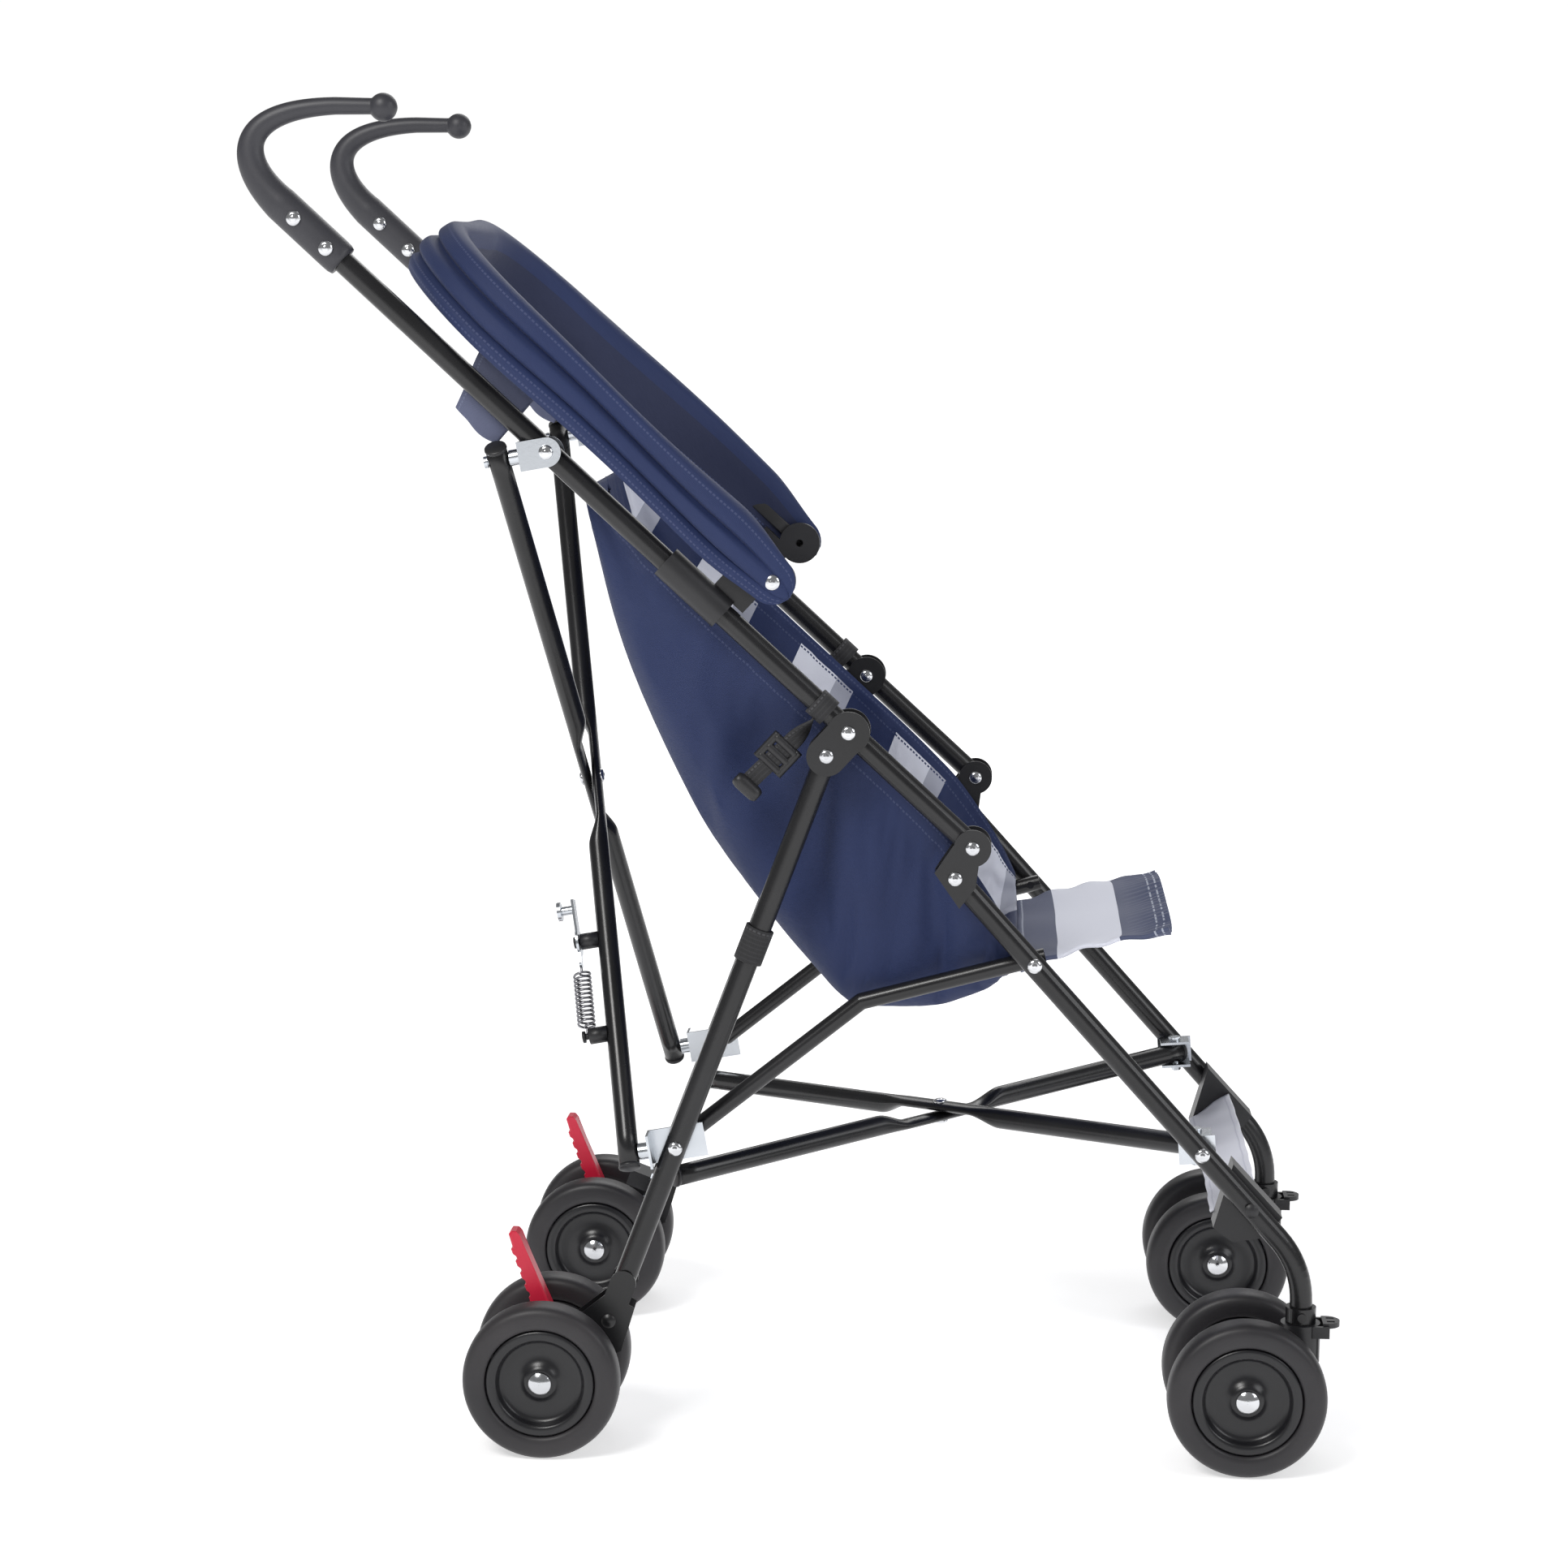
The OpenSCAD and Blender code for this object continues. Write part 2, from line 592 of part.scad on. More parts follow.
// Fork that turns on the foot of the front leg, with two lugs for its lock
module caster_fork(s) color("#1c1c1f") side(s) {
  translate([caster_x, side_y, fork_top - fork_h]) difference() {
    cylinder(h = fork_h, r = fork_r, $fn = 64);
    translate([0, 0, 4]) cylinder(h = fork_h, d = tube_d + 2 * pin_gap, $fn = 48);
  }
  plane(side_y, 18) difference() {
    union() {
      polygon([[caster_x + 13, fork_top - 10], [caster_x + 13, fork_top - fork_h],
        front_hub + [12, -8], front_hub + [-12, -8],
        front_hub + [-12, 12], [caster_x - 20, fork_top - 10]]);
      translate(front_hub) circle(r = 14, $fn = 48);
    }
    translate([caster_x - tube_r - 0.5, fork_top - fork_h + 4]) square([tube_d + 1, fork_h]);
    translate(front_hub) circle(d = axle_d, $fn = 48);
  }
  for (k = [-1, 1]) translate([caster_x + 8, side_y + k * (flange_r + 1.8) - 1.5, fork_top - 9])
    cube([13, 3, 9]);
  cross_pin(lug, side_y, 2 * flange_r + 5, 3);
}

// Flanged lever that stops the caster from turning
module swivel_lock(s) color("#1c1c1f") side(s) {
  difference() {
    translate([0, side_y, fork_top - 2]) union() {
      translate([caster_x + fork_r + 1.2, -flange_r, 0])
        cube([flange_out - fork_r - 1.2, 2 * flange_r, 4]);
      translate([caster_x + flange_out, 0, 0]) cylinder(h = 4, r = flange_r, $fn = 48);
      translate([caster_x + fork_r + 1.2, -flange_r, -5]) cube([4, 2 * flange_r, 6]);
    }
    translate([caster_x, side_y - fork_r, fork_top - 9]) cube([fork_r + 1.2, 2 * fork_r, 18]);
    for (k = [-1, 1]) translate([caster_x + flange_out, side_y + 4.5 * k - 1.5, fork_top - 3])
      cube([6, 3, 6]);
    cross_pin(lug, side_y, 3 * flange_r, 3 + 2 * pin_gap);
  }
}

// Ring section of a tyre, rounded over its tread
module tyre() {
  rotate_extrude($fn = 96) difference() {
    tyre_section();
    translate([0, -wheel_w]) square([rim_d / 2, 2 * wheel_w]);
  }
}

module tyre_section() {
  round_r = wheel_w * 0.36;
  translate([0, -wheel_w / 2]) square([wheel_r - round_r, wheel_w]);
  translate([0, -wheel_w / 2 + round_r]) square([wheel_r, wheel_w - 2 * round_r]);
  for (k = [-1, 1]) translate([wheel_r - round_r, k * (wheel_w / 2 - round_r)])
    circle(r = round_r, $fn = 48);
}

module rim() {
  edge = rim_d / 2;
  rotate_extrude($fn = 96) difference() {
    translate([axle_d / 2 + pin_gap, -wheel_w / 2 + 1]) square([edge - axle_d / 2 - pin_gap, wheel_w - 2]);
    for (k = [0, 1]) mirror([0, k]) {
      translate([13, 4]) square([edge - 21, wheel_w]);
      translate([axle_d / 2, wheel_w / 2 - 4]) square([9, 10]);
      translate([edge - 4.5, wheel_w / 2 - 3]) square([2, 10]);
    }
  }
}

module wheel_pair(hub) {
  for (k = [-1, 1]) translate([hub[0], side_y + k * wheel_y, hub[1]]) rotate([90, 0, 0]) children();
}

module front_tyres(s) color("#2b2a2e") side(s) wheel_pair(front_hub) tyre();
module rear_tyres(s) color("#2b2a2e") side(s) wheel_pair(rear_hub) tyre();
module front_rims(s) color("#1d1d20") side(s) wheel_pair(front_hub) rim();
module rear_rims(s) color("#1d1d20") side(s) wheel_pair(rear_hub) rim();

// Axle with a domed cap at each end
module axle(hub) {
  reach = wheel_y + wheel_w / 2 - 4;
  cross_pin(hub, side_y, 2 * reach, axle_d);
  for (k = [-1, 1]) translate([hub[0], side_y + k * (reach + 0.6), hub[1]])
    mirror([0, k < 0 ? 1 : 0, 0]) rotate([-90, 0, 0]) rotate_extrude($fn = 48) intersection() {
      translate([0, 4.2 - cap_d * 0.8]) circle(r = cap_d * 0.8, $fn = 96);
      translate([0, -0.6]) square([cap_d / 2, 6]);
    }
}

module front_axle(s) color("#d5d8dc") side(s) axle(front_hub);
module rear_axle(s) color("#d5d8dc") side(s) axle(rear_hub);

// Steel cheeks from the rear leg's foot back to the rear axle
module rear_wheel_bracket(s) color("#202024") {
  lock_tab(s);
  side(s) wheel_cheeks();
}

module wheel_cheeks() {
  foot = leg_foot;
  for (k = [-1, 1]) difference() {
    plane(side_y + k * (tube_r + face_gap + plate_t / 2), plate_t) difference() {
      union() {
        translate(rear_hub) circle(r = 15, $fn = 48);
        polygon([rear_hub + [-6, -12], foot + [14, -12], foot + [24, 22],
          foot + [4, 34], rear_hub + [-12, 12]]);
        oval(foot - 12 * rear_way, lock_point, 11);
      }
      translate(rear_hub) circle(d = axle_d, $fn = 40);
    }
    cross_pin(foot - 12 * rear_way, side_y, 3 * tube_d, rivet_d - 0.4);
  }
  through_rivet(foot - 12 * rear_way, plate_t + face_gap);
  cross_pin(pedal_pivot, side_y, 2 * (tube_r + face_gap + plate_t), 5);
}

// Tab and pin that carry one end of the lock bar beside the rear leg
module lock_tab(s) lock_frame(s) rotate([0, 0, -lock_ang]) {
  edge = side_y - tube_r - face_gap - lock_y;
  z = s > 0 ? 0 : -plate_t - face_gap;
  bar_z = s > 0 ? -plate_t - face_gap : 0;
  translate([0.5 - edge, -lock_w / 2, z]) cube([edge + 7.5, lock_w, plate_t]);
  translate([0, 0, bar_z - 3]) cylinder(h = plate_t + 6, d = 5, $fn = 32);
  translate([0, 0, s > 0 ? bar_z - 3 : bar_z + plate_t + face_gap])
    cylinder(h = 2.7, d = 9, $fn = 40);
}

// Red foot pedal of the brake, pivoted between the cheeks
pedal_pivot = rear_hub + [6, 26];
module brake_pedal(s) color("#cc2133") side(s) {
  w = tube_d - 1;
  difference() {
    plane(side_y, w) union() {
      translate(pedal_pivot) circle(r = 7, $fn = 40);
      polygon([pedal_pivot + [-7, 0], pedal_pivot + [-31, 56], pedal_pivot + [-35, 80],
        pedal_pivot + [-28, 80], pedal_pivot + [4, 6]]);
    }
    cross_pin(pedal_pivot, side_y, 3 * tube_d, 5 + 2 * pin_gap);
  }
}

// ---- Canopy ----

// Push tube frame in space: X down the tube, Y sideways, Z above it
module push_frame() {
  placed() translate([shoulder_x, 0, shoulder_z]) rotate([0, push_angle, 0]) children();
}

// Moulded clip around the push tube with an arm to the canopy pivot
module canopy_clamp(s) color("#1c1c1f") {
  push_frame() mirror([0, s < 0 ? 1 : 0, 0]) {
    translate([-186, side_y, 0]) rotate([0, 90, 0]) difference() {
      cylinder(h = 58, d = tube_d + 8, $fn = 64);
      translate([0, 0, -1]) cylinder(h = 60, d = tube_d + 2 * pin_gap, $fn = 64);
    }
    translate([-148, side_y - 7, tube_r + 2]) cube([30, 6, 24]);
    translate([-canopy_u, side_y - 4, canopy_rise]) rotate([90, 0, 0]) difference() {
      cylinder(h = 6, r = 17, center = true, $fn = 64);
      cylinder(h = 8, d = rivet_d + 2 * pin_gap, center = true, $fn = 40);
    }
  }
}

hoop_y = side_y + 2;
hoop_corner = 118;
hood_out = hoop_y + 9;

// Band in plan: two legs beside the push tubes joined by rounded corners across the back
module canopy_plan(outer, wall, front) {
  difference() {
    canopy_inside(outer, front);
    canopy_inside(outer - wall, front + 1);
  }
}

module canopy_inside(half, front) {
  inset = hood_out - half;
  back = -canopy_u - canopy_len + inset;
  r = hoop_corner - inset;
  translate([back + r, -half]) square([front - back - r, 2 * half]);
  translate([back, -half + r]) square([r + 1, 2 * half - 2 * r]);
  for (k = [-1, 1]) translate([back + r, k * (half - r)]) circle(r = r, $fn = 96);
}

// Fabric of the folded hood, one U-shaped band
module canopy_fabric() color("#22356b") push_frame()
  translate([0, 0, 20]) linear_extrude(canopy_h)
    canopy_plan(hood_out, 10.5, -150);

// Flat plastic bows with their pivot discs
module canopy_bows() color("#1c1c1f") push_frame() {
  translate([0, 0, canopy_rise]) {
    translate([0, 0, -5]) linear_extrude(10) canopy_plan(hood_out - 10.5 - face_gap, 4, -140);
    for (k = [-1, 1]) translate([-canopy_u, k * (side_y + 2.4), 0]) rotate([90, 0, 0])
      cylinder(h = 6, r = 14, center = true, $fn = 64);
    for (k = [-1, 1]) translate([-146, k * (side_y + 1.3) - 2, -5]) cube([20, 4, 10]);
    for (k = [-1, 1]) translate([-canopy_u, k * (side_y - 2), 0]) rotate([90, 0, 0])
      cylinder(h = 12, d = rivet_d, center = true, $fn = 40);
  }
}

// ---- Fabric ----

// Side outline of the sling, from the top of the back down to the seat's front edge
seat_back = [push_point(-268, 6), push_point(-190, 76), push_point(-84, 118),
  push_point(-12, 130), push_point(22, 143), push_point(92, 146)];
seat_front = [front_rivet + [-55, -36], front_rivet + [-12, -16]];
seat_top = [push_point(knee_u + 70, 24), push_point(knee_u, 6)];

inner_way = [0.92, 0.62];
seat_half = seat_y - bar_d / 2 - face_gap;

module seat_outline() {
  polygon(concat(seat_back, seat_front, seat_top, [push_point(-268, -2)]));
}

module seat_sling() color("#1f2f5f") placed() difference() {
  plane(0, 2 * seat_half) seat_outline();
  plane(0, 2 * (seat_half - cloth_t)) polygon(concat(
    [push_point(-268, 6 - cloth_t)], [for (p = seat_back) p + cloth_t * inner_way],
    [for (p = seat_front) p + [-cloth_t * 0.4, cloth_t * 1.1]],
    [push_point(knee_u + 110, 10), push_point(knee_u + 20, -60), push_point(-300, -60)]));
}

// Stiffened front flap of the seat
flap_rise = 15;
module calf_flap() color("#3b4560") placed() {
  a = seat_front[1] + [cloth_t * sin(flap_rise) + face_gap, 0];
  translate([a[0], 0, a[1]]) rotate([0, -flap_rise, 0]) translate([0, -flap_w / 2, 0])
    cube([flap_len, flap_w, cloth_t]);
}

// Moulded cap on the front leg that carries the footrest strap
cap_w = 26;
cap_face = side_y - tube_r - face_gap - cap_w;

module footrest_cap(s) color("#1c1c1f") side(s) {
  p = foot_rivet;
  plane(cap_face + cap_w / 2, cap_w)
    polygon([p + [-13, 31], p + [25, -10], p + [12, -26], p + [-12, -30], p + [-27, -19]]);
  cross_pin(p, side_y - 2, 2 * tube_r + 8, 4);
  rivet_head(p, side_y + tube_r + 2);
}

// Strap sheet between the two footrest caps
module footrest_strap() color("#e6e8f2") placed()
  plane(0, 2 * (cap_face - face_gap)) translate(foot_rivet + [-27, -15]) rotate(35)
    square([40, 3]);

// Shoulder webbing of the harness on the backrest, and one waist strap's loop
strap_w = 24;
strap_t = 3;
module harness() color("#17171a") {
  a = seat_back[1] + cloth_t * inner_way;
  b = seat_back[2] + cloth_t * inner_way;
  n = [-(b - a)[1], (b - a)[0]] / norm(b - a);
  placed() for (k = [-1, 1]) plane(k * 62, strap_w)
    polygon([a + face_gap * n, b + face_gap * n,
      b + (face_gap + strap_t) * n, a + (face_gap + strap_t) * n]);
  waist_strap(-1);
}

module waist_loop() color("#17171a") waist_strap(1);

module waist_strap(s) side(s) {
  ring = push_point(-27, 0);
  way = push_point(-26, 0) - ring;
  difference() {
    side_rod(ring - 7 * way, ring + 7 * way, tube_d + 2 * strap_t);
    side_rod(ring - 8 * way, ring + 8 * way, tube_d + 2 * face_gap);
  }
  plane(side_y, 14) polygon([push_point(-29, tube_r + 1.5), push_point(-25, tube_r + 1.5),
    push_point(-25, 84), push_point(-29, 84)]);
}

push_tube(-1);  // push_tube_r
push_tube(1);  // push_tube_l
handle_grip(-1);  // handle_grip_r
handle_grip(1);  // handle_grip_l
shoulder_bracket(-1);  // shoulder_bracket_r
shoulder_bracket(1);  // shoulder_bracket_l
knee_bracket(-1);  // knee_bracket_r
knee_bracket(1);  // knee_bracket_l
front_leg(-1);  // front_leg_r
front_leg(1);  // front_leg_l
rear_leg(-1);  // rear_leg_r
rear_leg(1);  // rear_leg_l
seat_bar(-1);  // seat_bar_r
seat_bar(1);  // seat_bar_l
back_brace(-1);  // back_brace_a
back_brace(1);  // back_brace_b
back_bracket(-1);  // back_bracket_r
back_bracket(1);  // back_bracket_l
leg_bracket(-1);  // leg_bracket_r
leg_bracket(1);  // leg_bracket_l
floor_brace(-1);  // floor_brace_a
floor_brace(1);  // floor_brace_b
floor_bracket(-1);  // floor_bracket_r
floor_bracket(1);  // floor_bracket_l
lock_bar(-1);  // lock_bar_r
lock_bar(1);  // lock_bar_l
lock_pedal();
latch_hook();
latch_spring();
caster_fork(-1);  // caster_fork_r
caster_fork(1);  // caster_fork_l
swivel_lock(-1);  // swivel_lock_r
swivel_lock(1);  // swivel_lock_l
front_tyres(-1);  // front_tyres_r
front_tyres(1);  // front_tyres_l
rear_tyres(-1);  // rear_tyres_r
rear_tyres(1);  // rear_tyres_l
front_rims(-1);  // front_rims_r
front_rims(1);  // front_rims_l
rear_rims(-1);  // rear_rims_r
rear_rims(1);  // rear_rims_l
front_axle(-1);  // front_axle_r
front_axle(1);  // front_axle_l
rear_axle(-1);  // rear_axle_r
rear_axle(1);  // rear_axle_l
rear_wheel_bracket(-1);  // rear_wheel_bracket_r
rear_wheel_bracket(1);  // rear_wheel_bracket_l
brake_pedal(-1);  // brake_pedal_r
brake_pedal(1);  // brake_pedal_l
canopy_clamp(-1);  // canopy_clamp_r
canopy_clamp(1);  // canopy_clamp_l
canopy_bows();
canopy_fabric();
seat_sling();
calf_flap();
footrest_strap();
footrest_cap(-1);  // footrest_cap_r
footrest_cap(1);  // footrest_cap_l
harness();
waist_loop();
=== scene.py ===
import json
import math

import bmesh
import bpy
import numpy as np
from mathutils import Matrix, Vector


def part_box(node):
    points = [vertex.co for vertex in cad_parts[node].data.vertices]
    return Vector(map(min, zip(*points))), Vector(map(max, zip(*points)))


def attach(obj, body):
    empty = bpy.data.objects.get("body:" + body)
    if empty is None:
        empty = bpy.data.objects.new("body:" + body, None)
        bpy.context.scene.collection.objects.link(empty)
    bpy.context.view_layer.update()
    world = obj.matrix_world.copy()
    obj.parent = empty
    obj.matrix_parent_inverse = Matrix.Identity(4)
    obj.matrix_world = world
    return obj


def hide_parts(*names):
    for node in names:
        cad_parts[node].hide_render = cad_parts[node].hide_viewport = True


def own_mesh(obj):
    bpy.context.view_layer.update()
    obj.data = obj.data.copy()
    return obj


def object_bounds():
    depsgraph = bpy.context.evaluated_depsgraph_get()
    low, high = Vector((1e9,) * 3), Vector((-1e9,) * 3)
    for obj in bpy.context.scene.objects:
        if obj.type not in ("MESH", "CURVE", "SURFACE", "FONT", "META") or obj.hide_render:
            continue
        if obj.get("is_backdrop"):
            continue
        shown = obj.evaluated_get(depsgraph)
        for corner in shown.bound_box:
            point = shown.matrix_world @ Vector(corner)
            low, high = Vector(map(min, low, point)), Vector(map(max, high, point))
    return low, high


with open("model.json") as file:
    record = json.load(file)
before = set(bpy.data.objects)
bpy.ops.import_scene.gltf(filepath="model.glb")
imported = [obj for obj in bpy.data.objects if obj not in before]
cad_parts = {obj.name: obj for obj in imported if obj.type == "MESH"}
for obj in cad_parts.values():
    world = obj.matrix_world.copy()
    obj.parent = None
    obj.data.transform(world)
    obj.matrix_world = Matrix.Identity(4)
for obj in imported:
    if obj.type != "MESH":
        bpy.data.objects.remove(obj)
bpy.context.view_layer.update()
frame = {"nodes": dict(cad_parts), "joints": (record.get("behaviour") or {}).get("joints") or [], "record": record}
scene = bpy.context.scene
nodes = frame["nodes"]

# ---- Camera, floor and light ----
# A pale studio: the camera stands at the stroller's right side, a little above the seat,
# and looks across it. Large soft lights stand above, in front and behind.
camera_place = (0.1431, -2.7034, 0.9021)
camera_yaw, camera_pitch, camera_roll = -3.455, -8.702, 0.400
camera_lens = 78.52

yaw, pitch, roll = (math.radians(a) for a in (camera_yaw, camera_pitch, camera_roll))
ahead = Vector((math.sin(yaw) * math.cos(pitch), math.cos(yaw) * math.cos(pitch), math.sin(pitch)))
level = ahead.cross(Vector((0, 0, 1))).normalized()
upright = level.cross(ahead)
side_way = math.cos(roll) * level + math.sin(roll) * upright
up_way = math.cos(roll) * upright - math.sin(roll) * level
camera = bpy.data.objects.new("camera", bpy.data.cameras.new("camera"))
camera.data.lens = camera_lens
camera.data.sensor_width = 36
camera_turn = Matrix((side_way, up_way, -ahead)).transposed().to_4x4()
camera.matrix_world = Matrix.Translation(camera_place) @ camera_turn
scene.collection.objects.link(camera)
scene.camera = camera
scene.view_settings.view_transform = "Standard"


def add_material(name):
    """A material with a Principled shader; returns the material, its nodes, its links and the shader."""
    made = bpy.data.materials.new(name)
    made.use_nodes = True
    tree = made.node_tree
    return made, tree.nodes, tree.links, tree.nodes["Principled BSDF"]


def add_mesh(name, points, faces, materials, smooth=True):
    """An object from an array of points and a list or array of faces, in metres in the row frame."""
    mesh = bpy.data.meshes.new(name)
    mesh.from_pydata(np.asarray(points, float).tolist(), [], np.asarray(faces).tolist()
                     if isinstance(faces, np.ndarray) else faces)
    mesh.shade_smooth() if smooth else mesh.shade_flat()
    for material in materials:
        mesh.materials.append(material)
    mesh.update()
    made = bpy.data.objects.new(name, mesh)
    scene.collection.objects.link(made)
    return made


floor_paint, n, link, shader = add_material("floor_paint")
shader.inputs["Base Color"].default_value = (0.86, 0.86, 0.87, 1)
shader.inputs["Roughness"].default_value = 0.9
shader.inputs["Specular IOR Level"].default_value = 0.1
shader.inputs["Emission Color"].default_value = (1, 1, 1, 1)
# the floor runs out into the white backdrop a few steps away
from_middle = n.new("ShaderNodeVectorMath")
from_middle.operation = "LENGTH"
place = n.new("ShaderNodeTexCoord")
fade = n.new("ShaderNodeMapRange")
fade.inputs["From Min"].default_value = 0.8
fade.inputs["From Max"].default_value = 3.5
fade.inputs["To Min"].default_value = 0.55
fade.inputs["To Max"].default_value = 1.0
link.new(place.outputs["Object"], from_middle.inputs[0])
link.new(from_middle.outputs["Value"], fade.inputs["Value"])
link.new(fade.outputs["Result"], shader.inputs["Emission Strength"])
floor = add_mesh("floor", [(-40, -40, 0), (40, -40, 0), (40, 40, 0), (-40, 40, 0)], [(0, 1, 2, 3)],
                 [floor_paint])
floor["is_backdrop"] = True

for name, place, size, power, tint in (
    ("key_light", (-1.4, -2.4, 3.0), 1.3, 74, (1.0, 0.99, 0.97)),
    ("fill_light", (2.8, -1.4, 2.0), 1.6, 26, (0.97, 0.98, 1.0)),
    ("back_light", (0.3, 2.6, 2.6), 2.2, 40, (1.0, 1.0, 1.0)),
):
    lamp = bpy.data.lights.new(name, "AREA")
    lamp.size, lamp.energy, lamp.color = size, power, tint
    stand = bpy.data.objects.new(name, lamp)
    stand.location = place
    stand.rotation_euler = (Vector((0, 0, 0.5)) - Vector(place)).to_track_quat("-Z", "Y").to_euler()
    scene.collection.objects.link(stand)
studio = bpy.data.worlds.new("studio")
studio.use_nodes = True
# the backdrop is white to the camera, and dimmer as a light
sky = studio.node_tree.nodes["Background"]
sky.inputs["Color"].default_value = (1, 1, 1, 1)
seen = studio.node_tree.nodes.new("ShaderNodeLightPath")
strength = studio.node_tree.nodes.new("ShaderNodeMapRange")
strength.inputs["To Min"].default_value = 0.24
strength.inputs["To Max"].default_value = 1.02
studio.node_tree.links.new(seen.outputs["Is Camera Ray"], strength.inputs["Value"])
studio.node_tree.links.new(strength.outputs["Result"], sky.inputs["Strength"])
scene.world = studio

# ---- Frame tubes ----
# The tubes are steel, powder coated in satin black. The coat has a fine orange-peel
# skin and is a little paler in soft patches.


def add_group(name, inputs, outputs):
    """A shader node group with named float inputs and outputs, each given as (name, kind)."""
    group = bpy.data.node_groups.new(name, "ShaderNodeTree")
    for label, kind in inputs:
        group.interface.new_socket(label, in_out="INPUT", socket_type=kind)
    for label, kind in outputs:
        group.interface.new_socket(label, in_out="OUTPUT", socket_type=kind)
    return group, group.nodes.new("NodeGroupInput"), group.nodes.new("NodeGroupOutput")


# Grain: fine noise for the skin of paint or moulded plastic, and a broad one for handling marks
grain_group, given, result = add_group(
    "grain", [("Scale", "NodeSocketFloat")], [("Height", "NodeSocketFloat"), ("Marks", "NodeSocketFloat")])
place_in = grain_group.nodes.new("ShaderNodeTexCoord")
fine = grain_group.nodes.new("ShaderNodeTexNoise")
fine.inputs["Detail"].default_value = 3
broad = grain_group.nodes.new("ShaderNodeTexNoise")
broad.inputs["Scale"].default_value = 14
broad.inputs["Detail"].default_value = 5
grain_group.links.new(place_in.outputs["Object"], fine.inputs["Vector"])
grain_group.links.new(place_in.outputs["Object"], broad.inputs["Vector"])
grain_group.links.new(given.outputs["Scale"], fine.inputs["Scale"])
grain_group.links.new(fine.outputs["Fac"], result.inputs["Height"])
grain_group.links.new(broad.outputs["Fac"], result.inputs["Marks"])


def painted(name, colour, worn, rough, metal=0.0, grain=900, bump=0.05, spread=0.12):
    """A grained finish: colour shifts to worn, and roughness by spread, where the broad noise is high."""
    made, n, link, shader = add_material(name)
    skin = n.new("ShaderNodeGroup")
    skin.node_tree = grain_group
    skin.inputs["Scale"].default_value = grain
    tones = n.new("ShaderNodeMix")
    tones.data_type = "RGBA"
    tones.inputs["A"].default_value = (*colour, 1)
    tones.inputs["B"].default_value = (*worn, 1)
    ramp = n.new("ShaderNodeMapRange")
    ramp.inputs["From Min"].default_value = 0.42
    ramp.inputs["From Max"].default_value = 0.72
    link.new(skin.outputs["Marks"], ramp.inputs["Value"])
    link.new(ramp.outputs["Result"], tones.inputs["Factor"])
    link.new(tones.outputs["Result"], shader.inputs["Base Color"])
    gloss = n.new("ShaderNodeMapRange")
    gloss.inputs["To Min"].default_value = rough - spread / 2
    gloss.inputs["To Max"].default_value = rough + spread / 2
    link.new(skin.outputs["Marks"], gloss.inputs["Value"])
    link.new(gloss.outputs["Result"], shader.inputs["Roughness"])
    dents = n.new("ShaderNodeBump")
    dents.inputs["Strength"].default_value = bump
    dents.inputs["Distance"].default_value = 0.0004
    link.new(skin.outputs["Height"], dents.inputs["Height"])
    link.new(dents.outputs["Normal"], shader.inputs["Normal"])
    shader.inputs["Metallic"].default_value = metal
    return made


finishes = {
    "frame_black": painted("frame_black", (0.009, 0.009, 0.010), (0.015, 0.015, 0.017), 0.27, grain=1400),
    "black_steel": painted("black_steel", (0.009, 0.009, 0.010), (0.014, 0.014, 0.016), 0.33),
    "zinc_steel": painted("zinc_steel", (0.62, 0.65, 0.69), (0.46, 0.49, 0.53), 0.24, metal=1.0, grain=500),
    "axle_steel": painted("axle_steel", (0.70, 0.71, 0.73), (0.55, 0.56, 0.59), 0.16, metal=1.0, grain=300),
    "grip_plastic": painted("grip_plastic", (0.030, 0.030, 0.037), (0.040, 0.040, 0.048), 0.46, bump=0.18),
    "black_plastic": painted("black_plastic", (0.014, 0.014, 0.016), (0.022, 0.022, 0.025), 0.42, bump=0.12),
    "tyre_foam": painted("tyre_foam", (0.020, 0.019, 0.022), (0.028, 0.026, 0.030), 0.48,
                         bump=0.15, grain=1600),
    "wheel_plastic": painted("wheel_plastic", (0.010, 0.010, 0.012), (0.016, 0.016, 0.018), 0.30, bump=0.05),
    "red_plastic": painted("red_plastic", (0.62, 0.012, 0.045), (0.70, 0.03, 0.07), 0.34, bump=0.08),
}
slot_of = {entry["node"]: entry["material_slot"] for entry in frame["record"]["subparts"]}
for node, held in nodes.items():
    if slot_of[node] in finishes:
        held.data.materials.clear()
        held.data.materials.append(finishes[slot_of[node]])
        if not node.startswith("handle_grip"):
            held.data.shade_flat()

# ---- Places on the frame ----
# The push tubes run from the knee up through the shoulder to the grips. Places on them are
# given down the tube from the shoulder rivet, and away from it to the rear and down.
joint_place = {j["name"]: Vector(j["pos_m"]) for j in frame["joints"] if "pos_m" in j}
knee = joint_place["front_leg_fold_r"]
brace_rivet = joint_place["back_bracket_turn_r"]
track = joint_place["front_leg_fold_l"].y - knee.y
side_y = track / 2
tube_r = 0.0085
plate = 0.0023
down_tube = (knee - brace_rivet).normalized()
off_tube = Vector((down_tube.z, 0, -down_tube.x))
shoulder = brace_rivet + 0.305 * down_tube


def on_tube(u, v):
    """X and Z of places u down the push tube from the shoulder rivet and v behind and below it."""
    u, v = np.broadcast_arrays(np.asarray(u, float), np.asarray(v, float))
    return (shoulder.x + u * down_tube.x + v * off_tube.x, shoulder.z + u * down_tube.z + v * off_tube.z)


